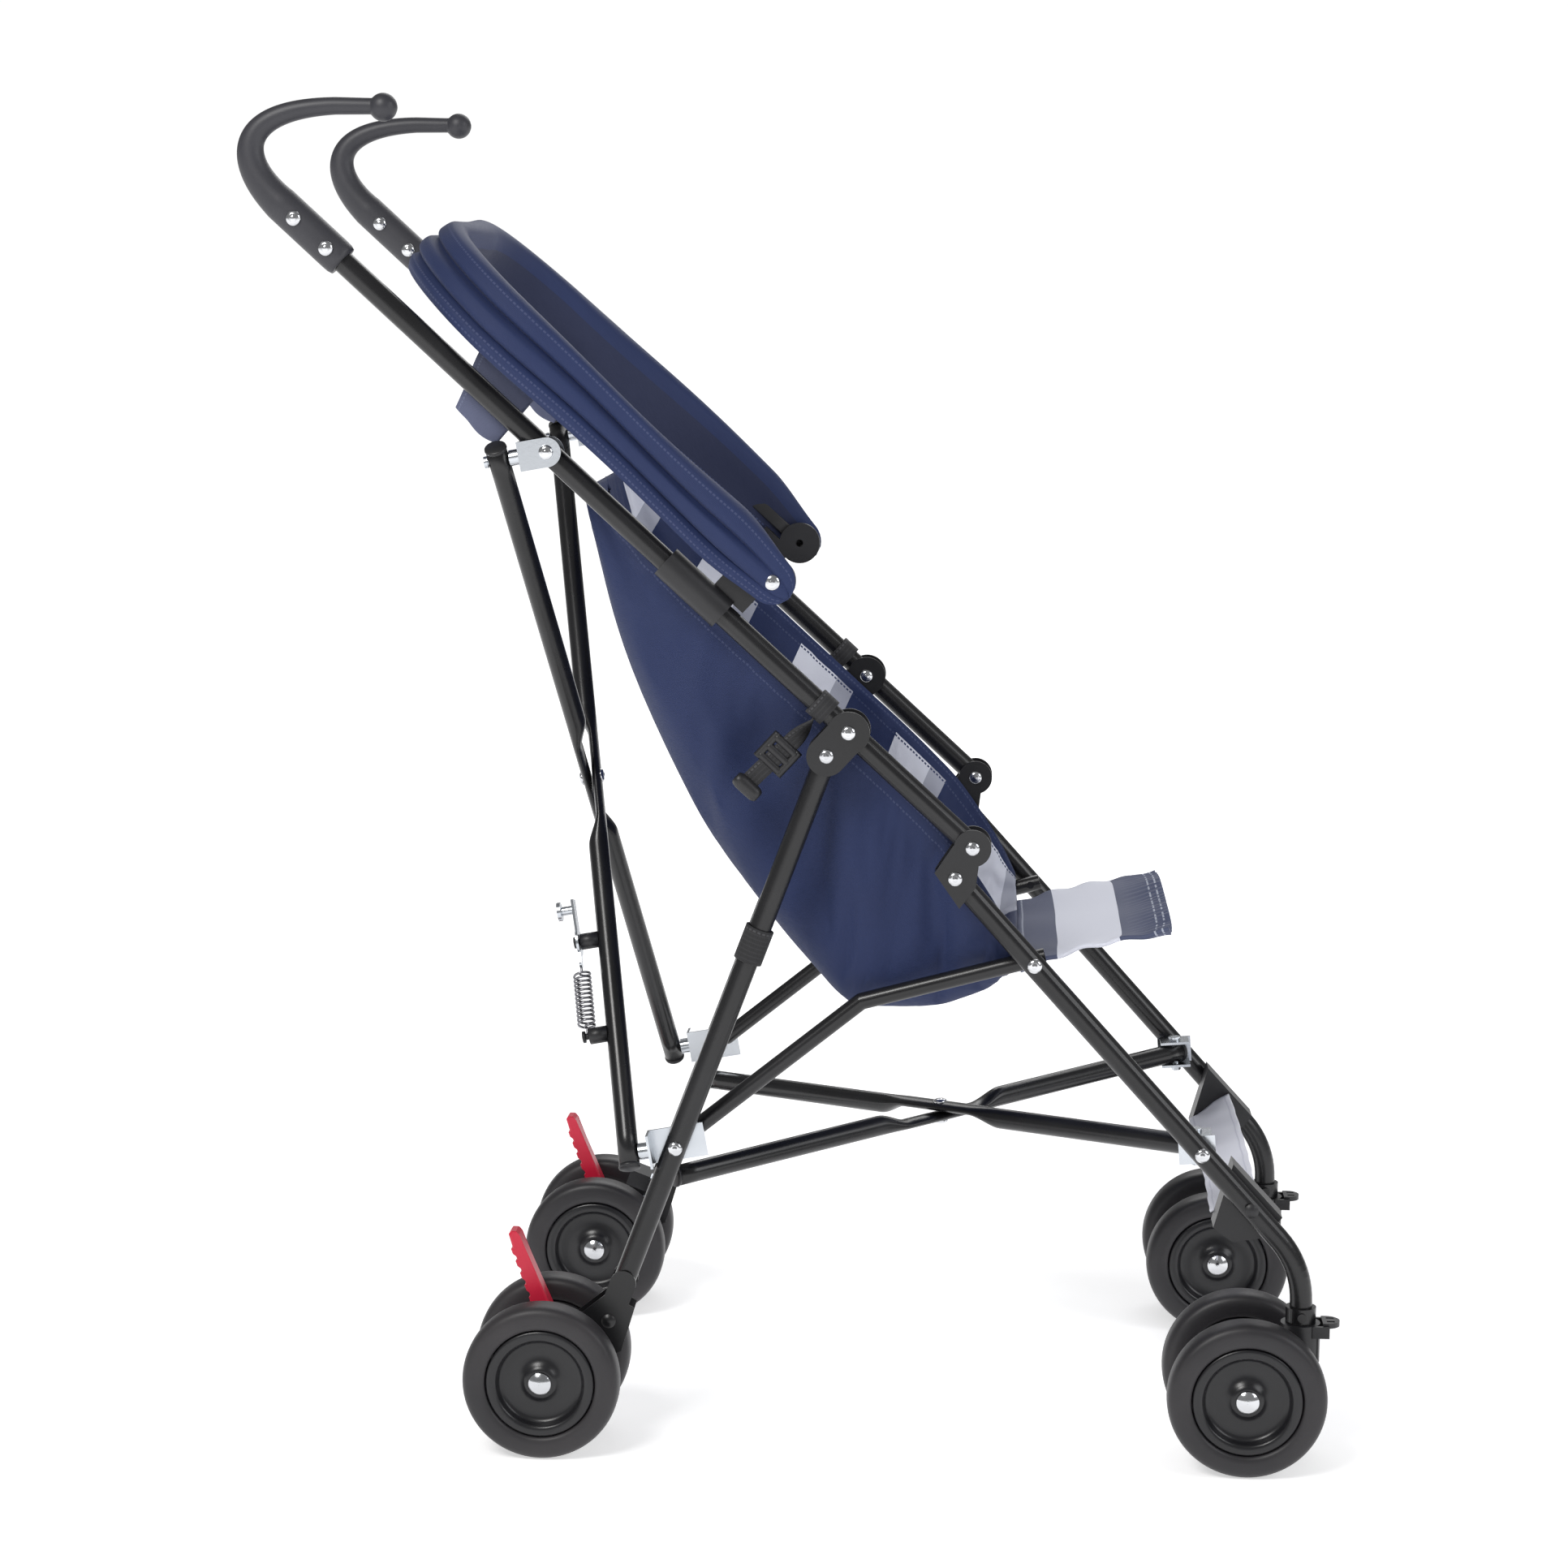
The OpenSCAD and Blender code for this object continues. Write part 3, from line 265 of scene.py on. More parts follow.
def grid_faces(rows, columns, wrap_rows=False, wrap_columns=False):
    """Quads of a grid of points stored row by row; a wrapped direction closes on itself."""
    r = np.arange(rows if wrap_rows else rows - 1)
    c = np.arange(columns if wrap_columns else columns - 1)
    r, c = (a.ravel() for a in np.meshgrid(r, c, indexing="ij"))
    r2, c2 = (r + 1) % rows, (c + 1) % columns
    return np.stack([r * columns + c, r * columns + c2, r2 * columns + c2, r2 * columns + c], 1)


def sweep(path, radius, sides=24, flat=1.0):
    """Round bar along a path: a ring of the given radius stands square to the path at each point.
    The ring's first direction is carried along without twist; flat scales the ring along it."""
    path = np.asarray(path, float)
    ahead = np.gradient(path, axis=0)
    ahead /= np.linalg.norm(ahead, axis=1, keepdims=True)
    side = np.array([0.0, 1.0, 0.0]) if abs(ahead[0][1]) < 0.8 else np.array([0.0, 0.0, 1.0])
    across = np.empty_like(path)
    for k, way in enumerate(ahead):
        side = side - (side @ way) * way
        side /= np.linalg.norm(side)
        across[k] = side
    rise = np.cross(ahead, across)
    turn = np.linspace(0, 2 * np.pi, sides, endpoint=False)
    ring = np.cos(turn)[None, :, None] * across[:, None] * flat + np.sin(turn)[None, :, None] * rise[:, None]
    points = (path[:, None] + np.broadcast_to(radius, len(path))[:, None, None] * ring).reshape(-1, 3)
    count = len(path)
    faces = grid_faces(count, sides, wrap_columns=True).tolist()
    faces.append(list(range(sides)))
    faces.append(list(range((count - 1) * sides, count * sides))[::-1])
    return points, faces


def curve_through(stops, count):
    """Smooth path through a few points: a Catmull-Rom spline sampled evenly in its parameter."""
    stops = np.asarray(stops, float)
    padded = np.vstack([2 * stops[0] - stops[1], stops, 2 * stops[-1] - stops[-2]])
    t = np.linspace(0, len(stops) - 1, count)
    i = np.minimum(t.astype(int), len(stops) - 2)
    f = (t - i)[:, None]
    a, b, c, d = padded[i], padded[i + 1], padded[i + 2], padded[i + 3]
    return 0.5 * (2 * b + (c - a) * f + (2 * a - 5 * b + 4 * c - d) * f**2 + (3 * b - a - 3 * c + d) * f**3)


def joined(pieces):
    """One mesh's points and faces from several pieces, each given as its points and its faces."""
    points, faces, first = [], [], 0
    for piece, quads in pieces:
        points.append(piece)
        faces += [[q + first for q in quad] for quad in quads]
        first += len(piece)
    return np.vstack(points), faces


def outward(made):
    """Turns the faces of a closed mesh outwards."""
    mesh = made.data
    work = bmesh.new()
    work.from_mesh(mesh)
    bmesh.ops.remove_doubles(work, verts=work.verts, dist=1e-6)
    bmesh.ops.recalc_face_normals(work, faces=work.faces)
    work.to_mesh(mesh)
    work.free()
    mesh.update()


def finish_piece(made, body, instead=(), fold=None):
    """Rides a piece on its body and hides the nodes it stands for; with fold, gives it a mesh of its own."""
    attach(made, body)
    if instead:
        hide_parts(*instead)
    if fold:
        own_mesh(made)
    return made


# ---- Grips ----
# Each grip is one soft plastic moulding over the tube's end: a thick socket, then a hook
# that bows back and forwards again, thins out and ends in a ball. Two pan rivets hold it.
grip_tube, grip_socket = 0.572, 0.062
for mark, s in (("r", -1), ("l", 1)):
    t = np.linspace(0, 1, 60)[:, None]
    end = np.array(on_tube(-grip_tube, 0))
    bow = [end, np.array(on_tube(-grip_tube - 0.052, 0)), end + (-0.034, 0.078), end + (0.077, 0.070)]
    hook = (1 - t)**3 * bow[0] + 3 * t * (1 - t)**2 * bow[1] + 3 * t**2 * (1 - t) * bow[2] + t**3 * bow[3]
    socket = np.stack(on_tube(np.linspace(-grip_tube + grip_socket, -grip_tube - 0.0001, 20), 0), 1)[:-1]
    last = (hook[-1] - hook[-2]) / np.linalg.norm(hook[-1] - hook[-2])
    ball = np.linspace(-0.0098, 0.0102, 22)
    beyond = ball[:, None] * last + hook[-1]
    line = np.vstack([socket, hook[:-7], beyond])
    thick = np.concatenate([
        np.full(len(socket), 0.0132) - 0.0012 * np.exp(-np.linspace(0, 30, len(socket))),
        0.0132 * (1 - 0.57 * t[:-7, 0]**0.8),
        np.maximum(np.sqrt(0.0104**2 - ball**2), np.where(ball < 0, 0.006, 0))])
    path = np.stack([line[:, 0], np.full(len(line), s * side_y), line[:, 1]], 1)
    grip = add_mesh("grip_" + mark, *sweep(path, thick, 40, 0.94), [finishes["grip_plastic"]])
    outward(grip)
    finish_piece(grip, "root" if s < 0 else "left_side", ["handle_grip_" + mark])

# ---- Rivets ----
# Bright steel rivets with low domed heads hold the brackets to the tubes. The grips, shoulders,
# knees and upper brace brackets show a head on each face, the others on the outer face only.


def dome_heads(places, radius, height):
    """Rivet heads: a cap of an ellipsoid of the given radius and height on a short straight rim,
    with a shallow ring pressed round its middle. Each place is a point and an outward direction."""
    rings, sides = 12, 28
    f = np.linspace(0, 1, rings)
    reach = radius * np.sin(f * np.pi / 2)
    lift = height * np.cos(f * np.pi / 2) - 0.00035 * np.exp(-((reach / radius - 0.42) / 0.09)**2)
    reach = np.append(reach, radius)
    lift = np.append(lift, -0.0012)
    turn = np.linspace(0, 2 * np.pi, sides, endpoint=False)
    points, faces = [], []
    for place, way in places:
        way = Vector(way).normalized()
        a = way.orthogonal().normalized()
        b = way.cross(a)
        ring = np.cos(turn)[None, :, None] * np.array(a) + np.sin(turn)[None, :, None] * np.array(b)
        cap = np.array(place) + reach[:, None, None] * ring + lift[:, None, None] * np.array(way)
        first = len(points) * (rings + 1) * sides
        points.append(cap.reshape(-1, 3))
        faces += (grid_faces(rings + 1, sides, wrap_columns=True)[:, ::-1] + first).tolist()
        faces.append([first + rings * sides + k for k in range(sides)][::-1])
    return np.vstack(points), faces


face = tube_r + plate
for mark, s, body in (("r", -1, "root"), ("l", 1, "left_side")):
    x, z = shoulder.x, shoulder.z
    leg = joint_place["rear_leg_fold_" + mark]
    sets = {
        body: [((x, s * side_y + k * face, z), (0, k, 0)) for k in (-1, 1)]
        + [((leg.x, s * side_y + k * face, leg.z), (0, k, 0)) for k in (-1, 1)],
        "front_leg_" + mark: [], "back_bracket_" + mark: [], "leg_bracket_" + mark: [],
        "floor_bracket_" + mark: [], "seat_bar_" + mark: [],
    }
    for u, v in ((-0.556, 0.0), (-0.524, 0.0)):
        gx, gz = on_tube(u, v)
        sets[body] += [((float(gx), s * side_y + k * 0.0125, float(gz)), (0, k, 0)) for k in (-1, 1)]
    for u, v in ((0.1266, 0.0), (0.133, 0.0257)):
        kx, kz = on_tube(u, v)
        sets["front_leg_" + mark] += [((float(kx), s * side_y + k * face, float(kz)), (0, k, 0))
                                      for k in (-1, 1)]
    brace = joint_place["back_bracket_turn_" + mark]
    sets["back_bracket_" + mark] = [((brace.x, s * side_y + k * face, brace.z), (0, k, 0)) for k in (-1, 1)]
    for held, joint in (("leg_bracket_", "leg_bracket_turn_"), ("floor_bracket_", "floor_bracket_turn_"),
                        ("seat_bar_", "seat_bar_turn_")):
        p = joint_place[joint + mark]
        sets[held + mark] = [((p.x, s * (side_y + tube_r + 0.0003), p.z), (0, s, 0))]
    for held, places in sets.items():
        rivets = add_mesh("rivets_" + held, *dome_heads(places, 0.0056, 0.0029), [finishes["axle_steel"]])
        outward(rivets)
        finish_piece(rivets, held)

# ---- Cross braces ----
# Two pairs of crossing tubes, behind the seat and under it. Each tube is pressed flat where it
# crosses its partner, so that both lie in one plane, and has a moulded plug in each end.
leg_rivet = joint_place["leg_bracket_turn_r"]
floor_rivet = joint_place["floor_bracket_turn_r"]
down_leg = joint_place["lock_bar_fold_r"] - joint_place["rear_leg_fold_r"]
down_leg = Vector((down_leg.x, 0, down_leg.z)).normalized()
down_back = Vector((leg_rivet.x - brace_rivet.x, 0, leg_rivet.z - brace_rivet.z)).normalized()
to_rear = Vector((down_back.z, 0, -down_back.x))
front_end = Vector((floor_rivet.x - 0.003, 0, floor_rivet.z))
behind_leg = Vector((down_leg.z, 0, -down_leg.x))
rear_end = Vector((leg_rivet.x, 0, leg_rivet.z)) + 0.026 * down_leg - 0.012 * behind_leg
fall = (rear_end - front_end).normalized()
brace_r, floor_y = 0.008, 0.1552


def brace(name, node, start, end, normal, past, give, studs=()):
    """Round tube from start to end, past by a little at both. Near its middle the ring narrows to
    under half along the normal, widens across it and shifts to one side, give = 1 or -1:
    half height = r (1 - 0.53 w), w going smoothly from 0 to 1 between 62 and 34 mm from the middle."""
    start, end, normal = (np.array(a, float) for a in (start, end, normal))
    length = np.linalg.norm(end - start)
    way = (end - start) / length
    side = np.cross(normal, way)
    place = np.concatenate([
        np.linspace(-past, length / 2 - 0.07, 12), length / 2 + np.linspace(-0.066, 0.066, 60),
        np.linspace(length / 2 + 0.07, length + past, 12)])
    w = np.clip((0.062 - np.abs(place - length / 2)) / 0.028, 0, 1)
    w = (w * w * (3 - 2 * w))[:, None, None]
    sides = 40
    turn = np.linspace(0, 2 * np.pi, sides, endpoint=False)[None, :, None]
    rings = start + place[:, None, None] * way + give * w * (0.47 * brace_r + 0.0003) * normal
    rings = rings + brace_r * (1 + 0.18 * w) * np.cos(turn) * side
    rings = rings + brace_r * (1 - 0.53 * w) * np.sin(turn) * normal
    count = len(place)
    faces = grid_faces(count, sides, wrap_columns=True).tolist()
    faces += [list(range(sides)), list(range((count - 1) * sides, count * sides))[::-1]]
    tube = add_mesh(name, rings.reshape(-1, 3), faces, [finishes["frame_black"]])
    outward(tube)
    finish_piece(tube, node, [node])
    pieces = []
    for at, out in ((-past, -1), (length + past, 1)):
        steps = np.array([-0.0010, 0.0002, 0.0006, 0.0018, 0.0024])
        plug_girth = np.array([0.0080, 0.0084, 0.0086, 0.0084, 0.0072])
        pieces.append(sweep(start + (at + out * steps)[:, None] * way, plug_girth, 32))
    for at in studs:
        rise = np.array([0.0070, 0.0212, 0.0215, 0.0216, 0.0246, 0.0247, 0.0268, 0.0270])
        girth = np.array([0.0064, 0.0064, 0.0060, 0.0025, 0.0025, 0.0046, 0.0046, 0.0036])
        pieces.append(sweep(start + at * way + rise[:, None] * normal, girth, 32))
    plugs = add_mesh(name + "_plugs", *joined(pieces), [finishes["black_plastic"]])
    outward(plugs)
    finish_piece(plugs, node)
    middle = start + way * length / 2 + give * 0.0078 * normal
    pin = add_mesh(name + "_rivet", *dome_heads([(tuple(middle), tuple(give * normal))], 0.0056, 0.0026),
                   [finishes["axle_steel"]])
    outward(pin)
    finish_piece(pin, node)


top = Vector((brace_rivet.x, 0, brace_rivet.z)) + 0.037 * to_rear
bottom = Vector((leg_rivet.x, 0, leg_rivet.z)) + 0.037 * to_rear
over = Vector((-fall.z, 0, fall.x)) if fall.x > 0 else Vector((fall.z, 0, -fall.x))
for mark, k in (("a", -1), ("b", 1)):
    upper, lower = top + Vector((0, k * side_y, 0)), bottom - Vector((0, k * side_y, 0))
    hook_at = (joint_place["latch_turn"] - upper).dot((lower - upper).normalized())
    brace("back_brace_tube_" + mark, "back_brace_" + mark, upper, lower, to_rear, 0.010, -k,
          (hook_at, hook_at + 0.080) if k > 0 else ())
    near_end, far_end = front_end + Vector((0, k * floor_y, 0)), rear_end - Vector((0, k * floor_y, 0))
    brace("floor_brace_tube_" + mark, "floor_brace_" + mark, near_end, far_end, over, 0.005, -k)

# ---- Wheels ----
# Each wheel is a foam tyre on a moulded disc. The tyre's sides swell and meet the disc in a
# narrow groove; the disc has a flat rim and a deep dish round the hub.


def turned(profile, hub, sides=96):
    """Turned ring: a closed outline of radius and sideways place, carried once round the hub's Y axis."""
    profile = np.asarray(profile, float)
    turn = np.linspace(0, 2 * np.pi, sides, endpoint=False)
    r, y = profile[:, 0], profile[:, 1]
    points = np.stack([
        hub[0] + np.outer(np.cos(turn), r), hub[1] + np.outer(np.ones(sides), y),
        hub[2] + np.outer(np.sin(turn), r)], 2).reshape(-1, 3)
    return points, grid_faces(sides, len(profile), wrap_rows=True, wrap_columns=True)


wheel_r, wheel_half = 0.060, 0.014
side_step = 0.039
swell = np.linspace(-np.pi / 2, np.pi / 2, 33)
tread_r = wheel_r - 0.0125 * (1 - np.abs(np.cos(swell))**0.55)
tread_y = wheel_half * np.sign(np.sin(swell)) * np.abs(np.sin(swell))**0.62
seat_r = 0.0418
tyre_line = np.vstack([
    np.stack([tread_r, tread_y], 1),
    [(0.0445, wheel_half - 0.0004), (seat_r + 0.0006, wheel_half - 0.0016), (seat_r, wheel_half - 0.004)],
    [(seat_r, -wheel_half + 0.004), (seat_r + 0.0006, -wheel_half + 0.0016), (0.0445, -wheel_half + 0.0004)]])
half_disc = np.array([
    (0.0413, 0.0040), (0.0413, 0.0112), (0.0406, 0.0122), (0.0395, 0.0126), (0.0372, 0.0127),
    (0.0350, 0.0124), (0.0338, 0.0116), (0.0330, 0.0098), (0.0322, 0.0074), (0.0308, 0.0058),
    (0.0285, 0.0050), (0.0230, 0.0047), (0.0180, 0.0050), (0.0150, 0.0062), (0.0128, 0.0082),
    (0.0112, 0.0096), (0.0096, 0.0101), (0.0060, 0.0101)])
disc_line = np.vstack([half_disc, half_disc[::-1] * (1, -1)])
# Foam rubber: a fine, deep grain, a little paler in soft patches
tyre_foam = painted("tyre_foam_worn", (0.020, 0.019, 0.022), (0.034, 0.031, 0.034), 0.46,
                    bump=0.2, grain=1500, spread=0.18)
wheel_parts = (("tyres", tyre_line, tyre_foam), ("rims", disc_line, finishes["wheel_plastic"]))
for end, mark, s in (("front", "r", -1), ("front", "l", 1), ("rear", "r", -1), ("rear", "l", 1)):
    hub = joint_place[f"{end}_wheel_spin_{mark}"]
    for kind, line, finish in wheel_parts:
        whole, faces = [], []
        for k in (-1, 1):
            points, quads = turned(line, (hub.x, s * side_y + k * side_step, hub.z))
            faces.append(quads + sum(len(w) for w in whole))
            whole.append(points)
        made = add_mesh(f"{end}_{kind}_pair_{mark}", np.vstack(whole), np.vstack(faces), [finish])
        outward(made)
        made.data.shade_smooth()
        finish_piece(made, f"{end}_wheels_{mark}",
                     [f"{end}_{kind}_{mark}"])

# ---- Cloth ----
# The fabric is a woven polyester. Its finish is a fine twill with rows of stitching along
# the hems; UV runs along a piece and across it, in metres.


def calc(tree, action, first, second=0.0, third=None):
    """One math node; each input is a socket or a number. Returns its output socket."""
    node = tree.nodes.new("ShaderNodeMath")
    node.operation = action
    for place, given in enumerate((first, second) if third is None else (first, second, third)):
        if isinstance(given, bpy.types.NodeSocket):
            tree.links.new(given, node.inputs[place])
        else:
            node.inputs[place].default_value = given
    return node.outputs[0]


# Weave: a twill of slanted ribs 1.1 mm apart crossed by threads, and slow soft shading
weave_group, given, result = add_group(
    "weave", [("Along", "NodeSocketFloat"), ("Across", "NodeSocketFloat")],
    [("Height", "NodeSocketFloat"), ("Soft", "NodeSocketFloat")])
lean = calc(weave_group, "MULTIPLY", given.outputs["Across"], 0.6)
slant = calc(weave_group, "ADD", given.outputs["Along"], lean)
ribs = calc(weave_group, "SINE", calc(weave_group, "MULTIPLY", slant, 5700.0))
threads = calc(weave_group, "SINE", calc(weave_group, "MULTIPLY", given.outputs["Across"], 9000.0))
weave_group.links.new(calc(weave_group, "ADD", ribs, threads), result.inputs["Height"])
where = weave_group.nodes.new("ShaderNodeTexCoord")
cloud = weave_group.nodes.new("ShaderNodeTexNoise")
cloud.inputs["Scale"].default_value = 9
cloud.inputs["Detail"].default_value = 4
weave_group.links.new(where.outputs["Object"], cloud.inputs["Vector"])
weave_group.links.new(cloud.outputs["Fac"], result.inputs["Soft"])

# Stitches: one row of dashes 3.5 mm apart at a distance Row from the edge
stitch_group, given, result = add_group(
    "stitches", [("Along", "NodeSocketFloat"), ("Across", "NodeSocketFloat"), ("Row", "NodeSocketFloat")],
    [("Mask", "NodeSocketFloat")])
from_row = calc(stitch_group, "SUBTRACT", given.outputs["Across"], given.outputs["Row"])
off = calc(stitch_group, "ABSOLUTE", from_row)
near = calc(stitch_group, "LESS_THAN", off, 0.0007)
dash = calc(stitch_group, "LESS_THAN",
            calc(stitch_group, "FRACT", calc(stitch_group, "DIVIDE", given.outputs["Along"], 0.0035)), 0.62)
stitch_group.links.new(calc(stitch_group, "MULTIPLY", near, dash), result.inputs["Mask"])


def cloth(name, ground, second=None, mask=None, rows=(), thread=None, rough=0.66):
    """Woven finish. mask(tree, along, across) gives where the second colour is printed; rows are
    distances across at which a row of stitches runs, in the thread's colour."""
    made, n, link, shader = add_material(name)
    tree = made.node_tree
    uv = n.new("ShaderNodeUVMap")
    uv.uv_map = "cloth"
    split = n.new("ShaderNodeSeparateXYZ")
    link.new(uv.outputs["UV"], split.inputs["Vector"])
    along, across = split.outputs["X"], split.outputs["Y"]
    weave = n.new("ShaderNodeGroup")
    weave.node_tree = weave_group
    link.new(along, weave.inputs["Along"])
    link.new(across, weave.inputs["Across"])
    shade = n.new("ShaderNodeMix")
    shade.data_type = "RGBA"
    shade.inputs["A"].default_value = (*[c * 0.86 for c in ground], 1)
    shade.inputs["B"].default_value = (*[min(c * 1.16, 1) for c in ground], 1)
    link.new(weave.outputs["Soft"], shade.inputs["Factor"])
    colour, height = shade.outputs["Result"], weave.outputs["Height"]
    if second:
        printed = n.new("ShaderNodeMix")
        printed.data_type = "RGBA"
        link.new(colour, printed.inputs["A"])
        printed.inputs["B"].default_value = (*second, 1)
        link.new(mask(tree, along, across), printed.inputs["Factor"])
        colour = printed.outputs["Result"]
    for row in rows:
        seam = n.new("ShaderNodeGroup")
        seam.node_tree = stitch_group
        link.new(along, seam.inputs["Along"])
        link.new(across, seam.inputs["Across"])
        seam.inputs["Row"].default_value = row
        sewn = n.new("ShaderNodeMix")
        sewn.data_type = "RGBA"
        link.new(seam.outputs["Mask"], sewn.inputs["Factor"])
        link.new(colour, sewn.inputs["A"])
        sewn.inputs["B"].default_value = (*(thread or [min(c * 2.5 + 0.02, 1) for c in ground]), 1)
        colour = sewn.outputs["Result"]
        height = calc(tree, "ADD", height, calc(tree, "MULTIPLY", seam.outputs["Mask"], 5.0))
    link.new(colour, shader.inputs["Base Color"])
    bump = n.new("ShaderNodeBump")
    bump.inputs["Strength"].default_value = 0.25
    bump.inputs["Distance"].default_value = 0.0003
    link.new(height, bump.inputs["Height"])
    link.new(bump.outputs["Normal"], shader.inputs["Normal"])
    shader.inputs["Roughness"].default_value = rough
    shader.inputs["Sheen Weight"].default_value = 0.06
    return made


def band(tree, value, low, high):
    """1 where value lies between low and high."""
    above = calc(tree, "GREATER_THAN", value, low)
    below = calc(tree, "LESS_THAN", value, high)
    return calc(tree, "MULTIPLY", above, below)


def checks(tree, along, across):
    """Pale squares, 60 mm wide and 109 mm apart, in one row below the top edge; the last third
    of each is a shade darker."""
    step = calc(tree, "FRACT", calc(tree, "DIVIDE", calc(tree, "ADD", along, 0.012), 0.109))
    white = calc(tree, "LESS_THAN", step, 0.38)
    lilac = calc(tree, "MULTIPLY", band(tree, step, 0.38, 0.55), 0.55)
    return calc(tree, "MULTIPLY", calc(tree, "ADD", white, lilac), band(tree, across, 0.010, 0.071))


navy, pale, slate = (0.0048, 0.0165, 0.080), (0.74, 0.76, 0.86), (0.066, 0.080, 0.150)


def cloth_grid(name, places, along, across, materials, thick, line=0, pinned=None, frames=0, shrink=0.0):
    """A sheet of cloth from a grid of places (rows, columns, 3) with UV in metres. With pinned, a
    grid of weights, it is first draped by a short cloth simulation. It is then given its
    thickness, to both sides of the grid. line moves the materials of its inner face."""
    rows, columns = places.shape[:2]
    made = add_mesh(name, places.reshape(-1, 3), grid_faces(rows, columns), materials)
    mesh = made.data
    layer = mesh.uv_layers.new(name="cloth")
    uv = np.stack([np.broadcast_to(along, (rows, columns)), np.broadcast_to(across, (rows, columns))], 2)
    corner = np.empty(len(mesh.loops), int)
    mesh.loops.foreach_get("vertex_index", corner)
    layer.data.foreach_set("uv", uv.reshape(-1, 2)[corner].ravel())
    if frames:
        held = made.vertex_groups.new(name="held")
        flat = np.asarray(pinned, float).ravel()
        for k in np.nonzero(flat)[0]:
            held.add([int(k)], float(flat[k]), "REPLACE")
        drape = made.modifiers.new("drape", "CLOTH")
        settings = drape.settings
        settings.quality = 7
        settings.mass = 0.08
        settings.tension_stiffness = settings.compression_stiffness = 30
        settings.shear_stiffness = 12
        settings.bending_stiffness = 1.5
        settings.air_damping = 3
        settings.shrink_min = shrink
        settings.effector_weights.gravity = 0.2
        settings.pin_stiffness = 3
        settings.vertex_group_mass = "held"
        drape.point_cache.frame_start, drape.point_cache.frame_end = 1, frames
        scene.frame_start, scene.frame_end = 1, frames
        for frame_now in range(1, frames + 1):
            scene.frame_set(frame_now)
    skin = made.modifiers.new("skin", "SOLIDIFY")
    skin.thickness, skin.offset, skin.material_offset = thick, 0, line
    finished = bpy.data.meshes.new_from_object(made.evaluated_get(bpy.context.evaluated_depsgraph_get()))
    made.modifiers.clear()
    made.vertex_groups.clear()
    made.data = finished
    made.data.name = name
    scene.frame_set(1)
    return made


# ---- Seat sling ----
# One navy hammock hangs between the two push tubes: side panels, back and seat in one piece,
# hemmed along the tubes and at the front. It is lined with a checked cloth and held by its hems.
back_stops = [(-0.268, 0.006), (-0.236, 0.028), (-0.161, 0.078), (-0.049, 0.125), (0.046, 0.1465),
              (0.104, 0.155), (0.134, 0.158), (0.150, 0.152), (0.186, 0.116), (0.208, 0.081), (0.222, 0.050)]
tube_stops = [(-0.268, 0.000), (-0.242, 0.004), (-0.178, 0.007), (-0.086, 0.007), (0.002, 0.007),
              (0.046, 0.007), (0.086, 0.008), (0.116, 0.010), (0.150, 0.017), (0.181, 0.026), (0.206, 0.036)]
rows, columns = 120, 101
back_line, tube_line = curve_through(back_stops, rows), curve_through(tube_stops, rows)
half = 0.1475
fan = np.linspace(0, 1, 14)
sling = np.empty((rows, columns, 3))
depth = np.empty((rows, columns))
for k in range(rows):
    low, high = back_line[k], tube_line[k]
    tall = np.linalg.norm(high - low)
    corner = min(0.030, 0.45 * tall)
    # half section from the middle of the back, round the corner and up the side panel:
    # sideways place, and height as a share of the panel
    side = np.concatenate([np.linspace(0, half - corner, 20)[:-1],
                           half - corner + corner * np.sin(fan * np.pi / 2),
                           half + 0.016 * np.clip((np.linspace(0, 1, 22)[1:] - 0.35) / 0.65, 0, 1)**1.5])
    rise = np.concatenate([np.zeros(19), corner * (1 - np.cos(fan * np.pi / 2)),
                           corner + (tall - corner) * np.linspace(0, 1, 22)[1:]]) / tall
    whole_side = np.concatenate([-side[:0:-1], side])
    whole_rise = np.concatenate([rise[:0:-1], rise])
    length = np.concatenate([[0], np.cumsum(np.hypot(np.diff(whole_side), np.diff(whole_rise) * tall))])
    even = np.linspace(0, length[-1], columns)
    y, share = np.interp(even, length, whole_side), np.interp(even, length, whole_rise)
    belly = 0.004 * np.sin(np.pi * k / (rows - 1)) * (1 - np.clip(np.abs(y) / half, 0, 1)**2)
    away = np.array([-0.15, 1.0]) / np.hypot(0.15, 1.0)
    u = low[0] + (high[0] - low[0]) * share + belly * away[0]
    v = low[1] + (high[1] - low[1]) * share + belly * away[1]
    crease = 0.0040 * np.sin(24 * v + 34 * u + 3 * np.sin(15 * u)) + 0.0022 * np.sin(62 * v - 39 * u)
    crease = crease * np.sin(np.pi * np.clip(share, 0, 1))**0.7 * np.sign(y) - 0.0035 * np.sign(y)
    x, z = on_tube(u, v)
    sling[k] = np.stack([x, y + crease, z], 1)
    depth[k] = np.minimum(even, length[-1] - even)
run = np.concatenate([[0], np.cumsum(np.linalg.norm(np.diff(tube_line, axis=0), axis=1))])[:, None]
pins = np.full((rows, columns), 0.015)
pins[:, :2] = pins[:, -2:] = 1
pins[:2] = pins[-3:] = 1
sling_out = cloth("sling_out", navy, rows=(0.0035, 0.012), thread=(0.035, 0.05, 0.13))
sling_in = cloth("sling_in", navy, pale, checks, rows=(0.0035, 0.012), thread=(0.035, 0.05, 0.13))
sling_piece = cloth_grid("seat_sling_cloth", sling, run, depth, [sling_out, sling_in], 0.0016,
                         1, pins, 14, -0.018)
finish_piece(sling_piece, "root", ["seat_sling"], fold=True)

